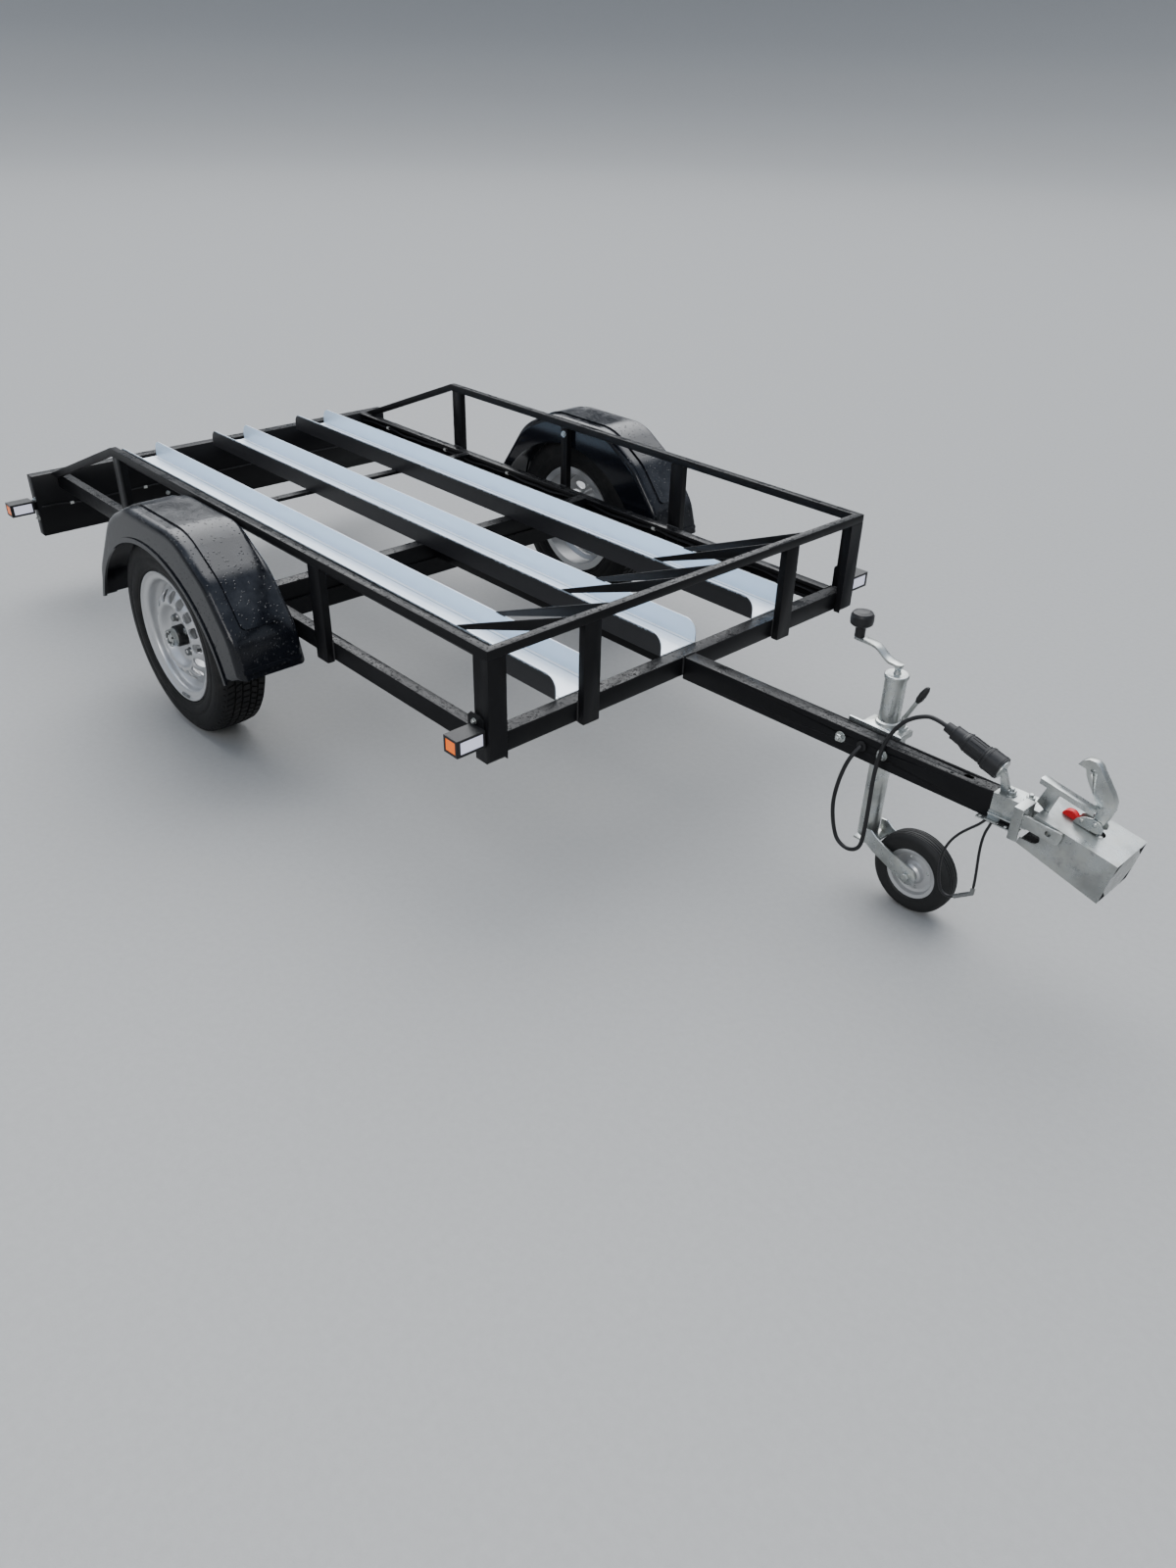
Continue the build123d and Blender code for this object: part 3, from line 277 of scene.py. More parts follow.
def black_paint(name="black_paint"):
    """Satin black paint: wet patches, beaded rain, and on what faces up a lighter film that is partly dust and partly
    a painted sky sheen; faint marks elsewhere.
    """
    s = Shader(name)
    up = s.facing_up()
    wide = s.noise(5, 4, 0.6)
    grain = s.noise(240, 3, 0.6)
    wet = s.math("MULTIPLY", up, s.step(s.noise(11, 5, 0.65), 0.5, 0.6))
    # What faces up is painted lighter: partly dust, partly a painted sheen standing in for the sky's reflection on
    # wet tops.
    dust_and_sheen = s.math("MULTIPLY", up, s.step(wide, 0.3, 0.75, 0.15, 1.0))
    dust_and_sheen = s.math("MULTIPLY", dust_and_sheen, s.math("SUBTRACT", 1.0, s.math("MULTIPLY", wet, 0.8)))
    base = s.mix(s.noise(14, 5, 0.7), (0.0035, 0.0035, 0.004), (0.008, 0.008, 0.009))
    marks = s.step(s.noise(38, 6, 0.75, (1, 1, 3)), 0.62, 0.74)
    base = s.mix(s.math("MULTIPLY", marks, 0.3), base, (0.04, 0.039, 0.037))
    dust_and_sheen = s.math("MULTIPLY", dust_and_sheen, s.step(grain, 0.3, 0.7, 0.2, 0.55))
    # The lighter tone mixed in on top faces is dust and painted sheen.
    s.put("Base Color", s.mix(dust_and_sheen, base, (0.075, 0.075, 0.074)))
    rough = s.mix(up, s.step(wide, 0.2, 0.8, 0.34, 0.48), s.step(grain, 0.3, 0.7, 0.26, 0.44))
    s.put("Roughness", s.mix(wet, rough, 0.1))
    s.put("Specular IOR Level", 0.13)
    s.bump(s.noise(700, 2, 0.5), 0.00012)
    s.bump(s.droplets(210, up, 0.6), 0.0014)
    s.bump(s.droplets(95, up, 0.3), 0.0022)
    return s.mat


def galvanised_channel():
    """Bright galvanised sheet, painted black outside and below with a ragged edge. Its walls carry a painted bluish
    reflection, and its inner bends a painted highlight with a painted dark line beside it.
    """
    s = Shader("galvanised_channel")
    streak = s.noise(1.0, 4, 0.6, (3.0, 90.0, 90.0))
    patch = s.noise(9, 5, 0.6)
    speck = s.noise(420, 2, 0.5)
    zinc = s.mix(streak, (0.72, 0.78, 0.84), (0.88, 0.92, 0.96))
    zinc = s.mix(s.step(patch, 0.45, 0.8, 0, 0.35), zinc, (0.62, 0.66, 0.70))
    zinc = s.mix(s.step(speck, 0.66, 0.74, 0, 0.35), zinc, (0.45, 0.48, 0.50))
    # Painted reflection: faces turned sideways, the channels' walls, are tinted darker and bluer to stand in for the
    # sky they reflect.
    wall = s.step(s.math("ABSOLUTE", s.axis("Y", "normal")), 0.5, 0.8)
    zinc = s.mix(s.math("MULTIPLY", wall, 0.7), zinc, (0.56, 0.72, 0.88))
    off = s.math("ABSOLUTE", s.math("WRAP", s.axis("Y"), CHANNEL_PITCH / 2, -CHANNEL_PITCH / 2))
    # Painted highlight: a white line along the inner bend between each channel's floor and wall.
    bend_highlight_gap = s.math("ABSOLUTE", s.math("SUBTRACT", off, CHANNEL_HALF - 0.0065))
    zinc = s.mix(s.step(bend_highlight_gap, 0.0042, 0.0026, 0, 0.9), zinc, (1.0, 1.0, 1.0))
    # Painted shade: a dark line just beside the painted bend highlight.
    edge = s.math("ABSOLUTE", s.math("SUBTRACT", bend_highlight_gap, 0.0068))
    zinc = s.mix(s.step(edge, 0.0026, 0.001, 0, 0.75), zinc, (0.30, 0.36, 0.42))
    outer = s.step(off, CHANNEL_HALF - 0.0012, CHANNEL_HALF - 0.0006)
    side = s.step(s.math("ABSOLUTE", s.axis("Y", "normal")), 0.4, 0.6)
    under = s.step(s.axis("Z", "normal"), -0.4, -0.7)
    height = s.math("ADD", s.axis("Z"), s.math("MULTIPLY", s.noise(130, 4, 0.7), 0.012))
    ragged = s.step(height, RAIL_TOP + 0.0615, RAIL_TOP + 0.059)
    paint = s.math("MAXIMUM", s.math("MULTIPLY", s.math("MULTIPLY", outer, side), ragged), under)
    s.put("Base Color", s.mix(paint, zinc, (0.014, 0.014, 0.016)))
    s.put("Metallic", s.math("SUBTRACT", 0.35, s.math("MULTIPLY", paint, 0.35)))
    s.put("Roughness", s.mix(paint, s.step(streak, 0.2, 0.8, 0.3, 0.46), 0.45))
    s.bump(s.noise(1.0, 3, 0.6, (6.0, 160.0, 160.0)), 0.00025)
    s.bump(s.noise(500, 2, 0.5), 0.0001)
    return s.mat


def zinc_plate(name="zinc_plate", warm=0.3, dark=0.0, grip=None, hollow=None):
    """Zinc plating: cloudy patches, rub marks and a slightly warm cast. Where given, a grip is black past a plane,
    and what faces a hollow's middle is painted dark and dull as shade inside the hollow."""
    s = Shader(name)
    patch = s.noise(28, 5, 0.65)
    cloud = s.noise(9, 4, 0.6)
    rub = s.noise(1.0, 5, 0.7, (60, 420, 60))
    cool, gold = (0.50, 0.53, 0.53), (0.54, 0.50, 0.38)
    base = s.mix(s.step(patch, 0.35, 0.7, 0, warm), cool, gold)
    base = s.mix(s.step(cloud, 0.4, 0.68, 0, 0.75), base, (0.23, 0.24, 0.235))
    base = s.mix(s.step(rub, 0.56, 0.72, 0, 0.55), base, (0.20, 0.21, 0.22))
    base = s.mix(dark, base, (0.1, 0.1, 0.1))
    metal = 0.88
    if grip:
        across, past = grip
        along = s.math("ADD", s.math("MULTIPLY", s.axis("X"), across.x), s.math("MULTIPLY", s.axis("Z"), across.z))
        black = s.step(along, past, past + 0.0006)
        base = s.mix(black, base, (0.01, 0.01, 0.01))
        metal = s.math("MULTIPLY", s.math("SUBTRACT", 1.0, black), metal)
    if hollow:
        # Painted shade: faces turned toward the hollow's middle are painted dark and made non-metallic.
        inside = s.step(s.facing(hollow), 0.0, 0.002)
        base = s.mix(inside, base, (0.03, 0.03, 0.03))
        metal = s.math("MULTIPLY", s.math("SUBTRACT", 1.0, inside), metal)
    s.put("Base Color", base)
    s.put("Metallic", metal)
    s.put("Roughness", s.step(patch, 0.3, 0.75, 0.22, 0.42))
    s.bump(rub, 0.00014)
    return s.mat


def silver_paint():
    s = Shader("silver_paint")
    fleck = s.noise(1500, 1, 0.5)
    film = s.noise(11, 4, 0.6)
    base = s.mix(fleck, (0.44, 0.445, 0.45), (0.56, 0.565, 0.57))
    s.put("Base Color", s.mix(s.step(film, 0.5, 0.8, 0, 0.14), base, (0.24, 0.215, 0.19)))
    s.put("Metallic", 0.66)
    s.put("Roughness", s.step(film, 0.3, 0.8, 0.3, 0.37))
    s.bump(fleck, 0.00004)
    return s.mat


def tyre_rubber():
    s = Shader("tyre_rubber")
    film = s.noise(20, 6, 0.7)
    grit = s.noise(520, 3, 0.6)
    base = s.mix(film, (0.005, 0.005, 0.0055), (0.012, 0.012, 0.012))
    s.put("Base Color", s.mix(s.step(s.math("MULTIPLY", film, grit), 0.24, 0.46, 0, 0.3), base, (0.07, 0.063, 0.056)))
    s.put("Roughness", s.step(grit, 0.3, 0.7, 0.5, 0.75))
    s.put("Specular IOR Level", 0.18)
    s.bump(grit, 0.00015)
    return s.mat


def guard_plastic():
    """Glossy black moulding with rain beads and dull dried patches on top."""
    s = Shader("guard_plastic")
    up = s.facing_up(0.1, 0.7)
    film = s.noise(7, 6, 0.65)
    dull = s.math("MULTIPLY", up, s.step(film, 0.42, 0.7))
    base = s.mix(s.noise(30, 4, 0.6), (0.003, 0.0035, 0.005), (0.006, 0.007, 0.010))
    s.put("Base Color", s.mix(s.math("MULTIPLY", dull, 0.2), base, (0.10, 0.105, 0.115)))
    s.put("Roughness", s.mix(dull, 0.12, 0.3))
    s.put("Specular IOR Level", 0.3)
    s.bump(s.noise(260, 3, 0.5), 0.0001)
    s.bump(s.droplets(150, s.facing_up(-0.3, 0.4), 0.35), 0.0013)
    return s.mat


def plain_plastic(name, colour, rough):
    s = Shader(name)
    speck = s.noise(600, 3, 0.6)
    s.put("Base Color", s.mix(s.noise(40, 4, 0.6), tuple(c * 0.75 for c in colour), colour))
    s.put("Roughness", s.step(speck, 0.2, 0.8, rough - 0.08, rough + 0.08))
    s.put("Specular IOR Level", 0.28)
    s.bump(speck, 0.0002)
    return s.mat


def lens(name, deep, pale, glow):
    """Coloured lens with fine moulded ribs; a weak emission in its pale colour paints the light it throws back."""
    s = Shader(name)
    wave = s.add("ShaderNodeTexWave", bands_direction="DIAGONAL")
    s.feed(wave.inputs["Vector"], s.stretched((0, 260, 0)))
    s.feed(wave.inputs["Scale"], 1.0)
    ribs = wave.outputs["Fac"]
    s.put("Base Color", s.mix(ribs, deep, pale))
    s.put("Roughness", 0.14)
    s.put("Coat Weight", 0.15)
    s.put("Specular IOR Level", 0.25)
    # Painted glow: the lens emits light though the lamp is off, standing in for light thrown back.
    s.put("Emission Color", pale)
    s.put("Emission Strength", glow)
    s.bump(ribs, 0.0004)
    return s.mat


LEVER_WAY = Vector((41, 0, 88)).normalized()    # along the clamp's lever
GRIP_FOOT = (1780.3, 60, 506.9)                 # where its black grip begins
BOX_MIDDLE = (2213, 0, 392)                     # inside the anti-theft box
BOXY = (
    "guard_rail", "posts_left", "posts_right", "corner_posts", "mudguard_stays", "drawbar", "crossmember_front",
    "crossmember_middle", "side_rail_left", "side_rail_right", "light_board", "wheel_stops", "spine",
)
PRESSED = ("lock_bracket", "lock_strip", "coupling_handle", "jockey_fork", "crank", "plug_holder", "jockey_clamp")


def dress_frame():
    """Every carried-over node gets its finish and soft edges."""
    finishes = {
        "frame_paint": black_paint(),
        "galvanised": galvanised_channel(),
        "zinc": zinc_plate(),
        "rim_paint": silver_paint(),
        "hub_paint": plain_plastic("hub_black", (0.012, 0.012, 0.012), 0.3),
        "tyre": tyre_rubber(),
        "jockey_rubber": plain_plastic("jockey_rubber", (0.014, 0.014, 0.014), 0.6),
        "guard_plastic": guard_plastic(),
        "black_plastic": plain_plastic("black_plastic", (0.014, 0.014, 0.015), 0.4),
        "cable_sheath": plain_plastic("cable_sheath", (0.013, 0.013, 0.014), 0.42),
        # Each lens's last number is the strength of its painted glow.
        "amber_lens": lens("amber_lens", (0.80, 0.15, 0.005), (1.0, 0.17, 0.003), 0.35),
        "white_lens": lens("white_lens", (0.62, 0.62, 0.78), (0.84, 0.84, 0.98), 0.4),
        "red_lens": lens("red_lens", (0.35, 0.01, 0.01), (0.55, 0.012, 0.012), 0.05),
        "dark_zinc": zinc_plate("dark_zinc", 0.2, 0.72),
        "bright_zinc": zinc_plate("bright_zinc", 0.35),
        "weld_paint": plain_plastic("weld_paint", (0.02, 0.02, 0.021), 0.42),
        "pale_plastic": plain_plastic("pale_plastic", (0.55, 0.55, 0.52), 0.5),
        "red_plastic": plain_plastic("red_plastic", (0.62, 0.012, 0.02), 0.3),
    }
    slots = {entry["node"]: entry["material_slot"] for entry in frame["record"]["subparts"]}
    for name, obj in nodes.items():
        obj.data.materials.clear()
        obj.data.materials.append(finishes[slots[name]])
        shade_smooth(obj)
    # The lock box's inner faces get painted shade.
    nodes["lock_box"].data.materials[0] = zinc_plate("box_zinc", 0.25, 0.28, hollow=point(*BOX_MIDDLE))
    nodes["safety_clip"].data.materials[0] = finishes["dark_zinc"]
    handle = nodes["clamp_handle"].data
    handle.materials[0] = zinc_plate("handle_zinc", 0.3, 0.0, (LEVER_WAY, point(*GRIP_FOOT).dot(LEVER_WAY)))
    round_edges(BOXY, 0.0014)
    round_edges(PRESSED, 0.0009)
    return finishes


def round_edges(names, width):
    """Small rounded edges on sheet and tube, as a modifier."""
    for name in names:
        weld = nodes[name].modifiers.new("weld", "WELD")
        weld.merge_threshold = 0.00002
        bevel = nodes[name].modifiers.new("edge", "BEVEL")
        bevel.width, bevel.segments = width, 2
        bevel.limit_method, bevel.angle_limit = "ANGLE", radians(35)
        bevel.harden_normals = True


def shade_smooth(obj, angle=32):
    obj.data.shade_smooth()
    obj.data.set_sharp_from_angle(angle=radians(angle))


# Modelled pieces. Their shapes are given in millimetres, with places from the axle as in the frame.

class Piece:
    """Gathers solids of one finish into one mesh."""

    def __init__(self):
        self.mesh = bmesh.new()

    def skin(self, rings):
        """Faces between rings of points, each ring a list of one or of equally many places."""
        made = [[self.mesh.verts.new(point(*p)) for p in ring] for ring in rings]
        for a, b in zip(made, made[1:]):
            n = max(len(a), len(b))
            for i in range(n):
                j = (i + 1) % n
                corners = [a[i % len(a)], a[j % len(a)], b[j % len(b)], b[i % len(b)]]
                self.mesh.faces.new(list(dict.fromkeys(corners)))

    def turned(self, profile, at, along, turns=32, start=0.0):
        """Solid turned about a line from points of radius and height along it."""
        along = Vector(along).normalized()
        across = along.orthogonal().normalized()
        other = along.cross(across)
        rings = []
        for r, h in profile:
            centre = Vector(at) + along * h
            if r == 0:
                rings.append([centre])
                continue
            angles = [start + tau * n / turns for n in range(turns)]
            rings.append([centre + (across * cos(t) + other * sin(t)) * r for t in angles])
        self.skin(rings)

    def slab(self, outline, at, along, depth):
        """Flat plate: an outline of offsets from a place, given thickness along a direction."""
        shift = Vector(along).normalized() * depth
        near = [Vector(at) + Vector(p) for p in outline]
        far = [p + shift for p in near]
        self.skin([near, far])
        count = len(near)
        self.mesh.verts.ensure_lookup_table()
        new = self.mesh.verts[-2 * count:]
        self.mesh.faces.new(list(reversed(new[:count])))
        self.mesh.faces.new(new[count:])

    def tube(self, line, r, turns=10):
        """Round bar along a line of places; r may vary from one place to the next."""
        line = [Vector(p) for p in line]
        rings = [[line[0]]]
        for n, p in enumerate(line):
            ahead = (line[min(n + 1, len(line) - 1)] - line[max(n - 1, 0)]).normalized()
            side = ahead.cross(Vector((0, 0, 1)) if abs(ahead.z) < 0.9 else Vector((1, 0, 0))).normalized()
            up = ahead.cross(side)
            size = r[n] if isinstance(r, list) else r
            rings.append([p + (side * cos(tau * k / turns) + up * sin(tau * k / turns)) * size for k in range(turns)])
        self.skin(rings + [[line[-1]]])

    def weld_bead(self, start, end, r=3.2):
        """Run of weld: a bar whose size ripples like laid metal."""
        start, end = Vector(start), Vector(end)
        steps = max(6, int((end - start).length / 1.6))
        line, sizes = [], []
        for n in range(steps + 1):
            jitter = Vector([chance.uniform(-0.35, 0.35) for _ in range(3)])
            line.append(start.lerp(end, n / steps) + jitter)
            sizes.append(r * (0.82 + 0.2 * abs(sin(n * 1.15))) * chance.uniform(0.94, 1.06))
        self.tube(line, sizes, 8)

    def hex_bolt(self, at, along, flats=17.0, head=7.0, washer=12.0, stud=0.0):
        """Hexagon head or nut on a washer, with the end of its stud where it has one."""
        corner = flats / 2 / cos(pi / 6)
        spin = chance.uniform(0, tau)
        if washer:
            self.turned([(0, 0), (washer, 0), (washer, 1.7), (washer - 0.5, 2), (0, 2)], at, along, 28)
            at = Vector(at) + Vector(along).normalized() * 2
        rim = [(0, 0), (corner, 0), (corner, head * 0.8), (corner * 0.86, head), (corner * 0.5, head)]
        if stud:
            r = flats * 0.29
            self.turned(rim + [(0, head)], at, along, 6, spin)
            top = head + stud
            self.turned([(0, head), (r, head), (r, top - 1), (r - 1, top), (0, top)], at, along, 16)
        else:
            self.turned(rim + [(corner * 0.42, head - 0.5), (0, head - 0.5)], at, along, 6, spin)

    def done(self, name, material, body, angle=32, bevel=0.0):
        bmesh.ops.recalc_face_normals(self.mesh, faces=self.mesh.faces)
        data = bpy.data.meshes.new(name)
        self.mesh.to_mesh(data)
        self.mesh.free()
        obj = bpy.data.objects.new(name, data)
        bpy.context.scene.collection.objects.link(obj)
        data.materials.append(material)
        shade_smooth(obj, angle)
        if bevel:
            edge = obj.modifiers.new("edge", "BEVEL")
            edge.width, edge.segments, edge.limit_method, edge.angle_limit = bevel, 2, "ANGLE", radians(40)
            edge.harden_normals = True
        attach(obj, body)
        return obj


# Wheels, about their own centres

TYRE_R, TREAD_HALF = 281.0, 54.0
PITCHES = 78                 # tread blocks around the tyre
GROOVE_DEEP, SLOT_DEEP = 6.0, 4.5
GROOVES = (-33.0, -12.0, 12.0, 33.0)
GROOVE_HALF, GROOVE_WALL = 2.6, 0.8
SIDEWALL = (                 # radius and distance from the middle plane, from the bead to the shoulder
    (165.6, 52.5), (176.0, 54.2), (182.6, 54.6), (184.5, 59.0), (187.0, 63.4), (190.0, 65.8), (193.0, 67.4),
    (195.5, 66.8), (198.0, 68.4), (206.0, 70.6), (214.0, 71.7), (221.0, 72.0), (222.5, 71.3), (226.0, 71.3),
    (227.5, 72.0), (238.0, 71.8), (247.0, 71.0), (248.5, 70.3), (251.0, 70.4), (257.0, 68.2), (263.0, 65.0),
    (267.5, 62.0), (271.5, 59.4), (275.0, 56.8),
)
WHEEL_CENTRE = [(a + b) * 500 for a, b in zip(*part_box("tyre_right"))]
WHEEL_OUT = abs(WHEEL_CENTRE[1])
WHEEL_Z = WHEEL_CENTRE[2]


def tread_rows():
    """Places across the tread: distance from the middle plane, depth, and whether cross slots cut it."""
    rows = [(-TREAD_HALF, 0.4, True)]
    for centre in GROOVES:
        edge, foot = GROOVE_HALF, GROOVE_HALF - GROOVE_WALL
        rows += [(centre - edge, 0.0, True), (centre - foot, GROOVE_DEEP, False)]
        rows += [(centre + foot, GROOVE_DEEP, False), (centre + edge, 0.0, True)]
    return rows + [(TREAD_HALF, 0.4, True)]


def tyre(name, side, material):
    """Road tyre: moulded sidewalls, four grooves, and slanted cross slots that part the ribs into blocks."""
    piece = Piece()
    stations = ((0.0, 0.0), (0.68, 0.0), (0.72, 1.0), (0.96, 1.0))
    turns = [(k + u, cut) for k in range(PITCHES) for u, cut in stations]

    def ring(r, across, depth=0.0, slotted=False, phase=0.0):
        out = []
        for u, cut in turns:
            t = tau * (u + phase) / PITCHES
            size = r - max(depth, SLOT_DEEP * cut if slotted else 0.0)
            out.append((size * sin(t), side * (WHEEL_OUT + across), WHEEL_Z + size * cos(t)))
        return out

    outer = [ring(r, y, 0, n > len(SIDEWALL) - 3, 0.3) for n, (r, y) in enumerate(SIDEWALL)]
    inner = [ring(r, -y, 0, n > len(SIDEWALL) - 3, 0.3) for n, (r, y) in enumerate(SIDEWALL)]
    middle = []
    for n, (y, depth, slotted) in enumerate(tread_rows()):
        crown = TYRE_R - 2.6 * (abs(y) / TREAD_HALF) ** 2
        rib = (n + 1) // 4
        phase = 0.5 * (rib % 2) + 0.02 * abs(y)
        middle.append(ring(crown, y, depth, slotted, phase))
    piece.skin(inner + middle + list(reversed(outer)) + [inner[0]])
    obj = piece.done(name, material, f"wheel_{name.split('_')[1]}", 28)
    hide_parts(name.replace("_cover", ""))
    return obj


RIM_SHEET, VENT_LIP = 4.0, 2.2
DISC_FACE = 34.0             # outer face of the wheel's disc, from the middle plane
VENTS, VENT_RING, VENT_AROUND, VENT_DEEP = 16, 113.0, 29.0, 31.0
BAND = (95.0, 132.0)         # radii of the band that carries the vents
BOWL = ((30.5, 34), (67, 34), (73, 35.2), (78, 38.8), (82, 44), (85.5, 50), (88.5, 54.4), (91.5, 57.2))
SKIRT = ((135.5, 30), (139.5, 26.8), (143, 24), (145.5, 22))
BARREL = (                   # the tyre's side from the outer flange inward, then back along the side that shows
    (182.6, 59.6), (180.5, 58.4), (176, 57.4), (171.5, 57), (168, 56), (166, 53), (164.6, 48), (162, 38), (159, 33.5),
    (152, 27), (149, 24.5), (148, 22), (148, 0), (150, -4.5), (159, -11), (162, -14), (165, -57), (168, -58),
    (182, -59), (182, -63), (160, -63), (157, -12), (144, 0), (144, 22), (146, 25), (150, 29), (155, 33.5),
    (157.5, 38), (158.6, 44), (159.4, 50), (160.6, 54), (163, 57.2), (167, 59.2), (172, 60.2), (176, 61.2),
    (178.4, 63.4), (180.4, 66), (182.6, 67), (184.8, 66), (185.6, 63.2), (184.6, 60.6),
)


def crown(r):
    """Height of the vented band over the middle plane at a radius."""
    return 58.2 - (0.021 if r > 97 else 0.03) * (r - 97.0) ** 2


def rim(name, side, material):
    """Pressed steel wheel: rolled barrel, and a disc with a bowl and a band of vents with turned edges."""
    piece = Piece()

    def ring(r, across, angles):
        return [(r * sin(t), side * (WHEEL_OUT + across), WHEEL_Z + r * cos(t)) for t in angles]

    around = [tau * n / 128 for n in range(128)]
    barrel = [ring(r, across, around) for r, across in BARREL]
    piece.skin(barrel + [barrel[0]])
    half, count = pi / VENTS, 32
    edge = {BAND[0]: set(), BAND[1]: set()}
    for vent in range(VENTS):
        loops = {"outer": [], "near": [], "soft": [], "lip": []}
        for n in range(count):
            t = tau * (n + 0.5) / count
            flat = (VENT_DEEP - VENT_AROUND) / 2
            hole = (VENT_AROUND / 2 * sin(t), VENT_AROUND / 2 * cos(t) + (flat if cos(t) > 0 else -flat))
            reach = min(
                1e9 if abs(sin(t)) < 1e-9 else (VENT_RING * half) / abs(sin(t)),
                (BAND[1] - VENT_RING if cos(t) > 0 else VENT_RING - BAND[0]) / max(abs(cos(t)), 1e-9),
            )
            rim_point = (reach * sin(t), reach * cos(t))
            for key, share in (("outer", 1.0), ("near", 0.22), ("soft", 0.08), ("lip", 0.0)):
                u = hole[0] + (rim_point[0] - hole[0]) * share
                v = hole[1] + (rim_point[1] - hole[1]) * share
                r = VENT_RING + v
                loops[key].append((r, u / VENT_RING + 2 * half * vent))
            if abs(rim_point[1] - (BAND[1] - VENT_RING)) < 0.01:
                edge[BAND[1]].add(round(loops["outer"][-1][1], 9))
            if abs(rim_point[1] - (BAND[0] - VENT_RING)) < 0.01:
                edge[BAND[0]].add(round(loops["outer"][-1][1], 9))

        def place(key, drop):
            return [(r * sin(a), side * (WHEEL_OUT + crown(r) - drop), WHEEL_Z + r * cos(a)) for r, a in loops[key]]

        piece.skin([
            place("outer", 0), place("near", 0), place("soft", 0.5), place("lip", VENT_LIP),
            place("lip", VENT_LIP + RIM_SHEET), place("near", RIM_SHEET), place("outer", RIM_SHEET),
        ])
    bowl = list(BOWL) + [(BAND[0], crown(BAND[0]))]
    skirt = [(BAND[1], crown(BAND[1]))] + list(SKIRT)
    for lane, line in ((BAND[0], bowl), (BAND[1], skirt)):
        angles = sorted(edge[lane])
        front = [ring(r, across, angles) for r, across in line]
        back = [ring(r, across - RIM_SHEET, angles) for r, across in line]
        piece.skin(front)
        piece.skin(back)
        end = 0 if lane == BAND[0] else -1
        piece.skin([front[end], back[end]])
    piece.turned([(32, 0), (60, 0), (58, 26), (32, 26)], (0, side * (WHEEL_OUT + 4), WHEEL_Z), (0, side, 0), 48)
    bmesh.ops.remove_doubles(piece.mesh, verts=piece.mesh.verts, dist=0.00003)
    obj = piece.done(name, material, f"wheel_{name.split('_')[1]}", 40)
    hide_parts(name.replace("_cover", ""))


def wheel_fittings(word, side, finishes):
    """Bolts, valve, balance weight and hub cap of one wheel, on its outer side."""
    body = f"wheel_{word}"
    out = (0, side, 0)

    def place(r, degrees, across):
        t = radians(degrees)
        return (r * cos(t), side * (WHEEL_OUT + across), WHEEL_Z + r * sin(t))

    bolts = Piece()
    for n in range(4):
        seat = place(50, 33 + 90 * n, DISC_FACE)
        bolts.turned([(0, 0), (12.5, 0), (11, 3), (10, 4.5), (0, 4.5)], seat, out, 28)
        bolts.hex_bolt(Vector(seat) + Vector(out) * 4, out, 17, 10, 0)
    bolts.done(f"wheel_bolts_{word}", finishes["dark_zinc"], body, 30, 0.0004)
    cap = Piece()
    drum = [(0, 59.6), (25.2, 59.6), (25.2, 62), (24.2, 62), (24.2, 72), (18, 73.5), (0, 73.5)]
    cap.turned(drum, place(0, 0, 0), out, 48)
    for n in range(8):
        arc = [radians(45 * n + d) for d in (-15, -7, 0, 7, 15)]
        ring = [(24.2, t) for t in arc] + [(17, t) for t in reversed(arc)]
        outline = [(r * cos(t), 0, r * sin(t)) for r, t in ring]
        cap.slab(outline, place(0, 0, 71.5), out, 6.0)
    cap.turned([(0, 72), (10, 72), (10, 75), (8.5, 76.2), (0, 76.2)], place(0, 0, 0), out, 24)
    cap.done(f"hub_cap_{word}", finishes["bright_zinc"], body, 30, 0.0004)
    valve = Piece()
    base = place(150, 4, 30)
    tip = Vector(place(138, 4, 58))
    lean = tip - Vector(base)
    stem = [(0, 0), (7, 0), (7.5, 4), (5.5, 8), (4.6, 14), (4.4, 24), (4, 25), (4, 33), (3, 34), (0, 34)]
    valve.turned(stem, base, lean, 20)
    valve.done(f"valve_{word}", finishes["black_plastic"], body)
    weight = Piece()
    arc = [radians(-93 + 2 * n) for n in range(8)]
    ring = [(184.0, t) for t in arc] + [(173.5, t) for t in reversed(arc)]
    outline = [(r * cos(t), 0, r * sin(t)) for r, t in ring]
    weight.slab(outline, place(0, 0, 60.5), out, 5.5)
    weight.done(f"balance_weight_{word}", finishes["dark_zinc"], body, 30, 0.0008)


# Frame fittings

BAR_FACE = -20.0             # near face of the drawbar
CLAMP_BACK = 26.0            # far face of the clamp behind it
CLAMP_BOLTS = ((1656.0, 396.6), (1766.0, 399.0))
BRACKET_FACE = 652.0         # outer face of the front marker plates
BOARD_FRONT = -1200.0
HOOP_IN, HOOP_OUT, HOOP_TOP = 629.0, 649.0, 610.0
RAIL_IN = 599.0              # inner face of the side rails
RAIL_UP, RAIL_DOWN = 412.0, 362.0
CROSS_BACK, CROSS_FRONT = 1137.0, 1177.0
STAY_Z, STAY_FOOT = 588.0, 655.5
CHANNELS = (-346.0, 0.0, 346.0)


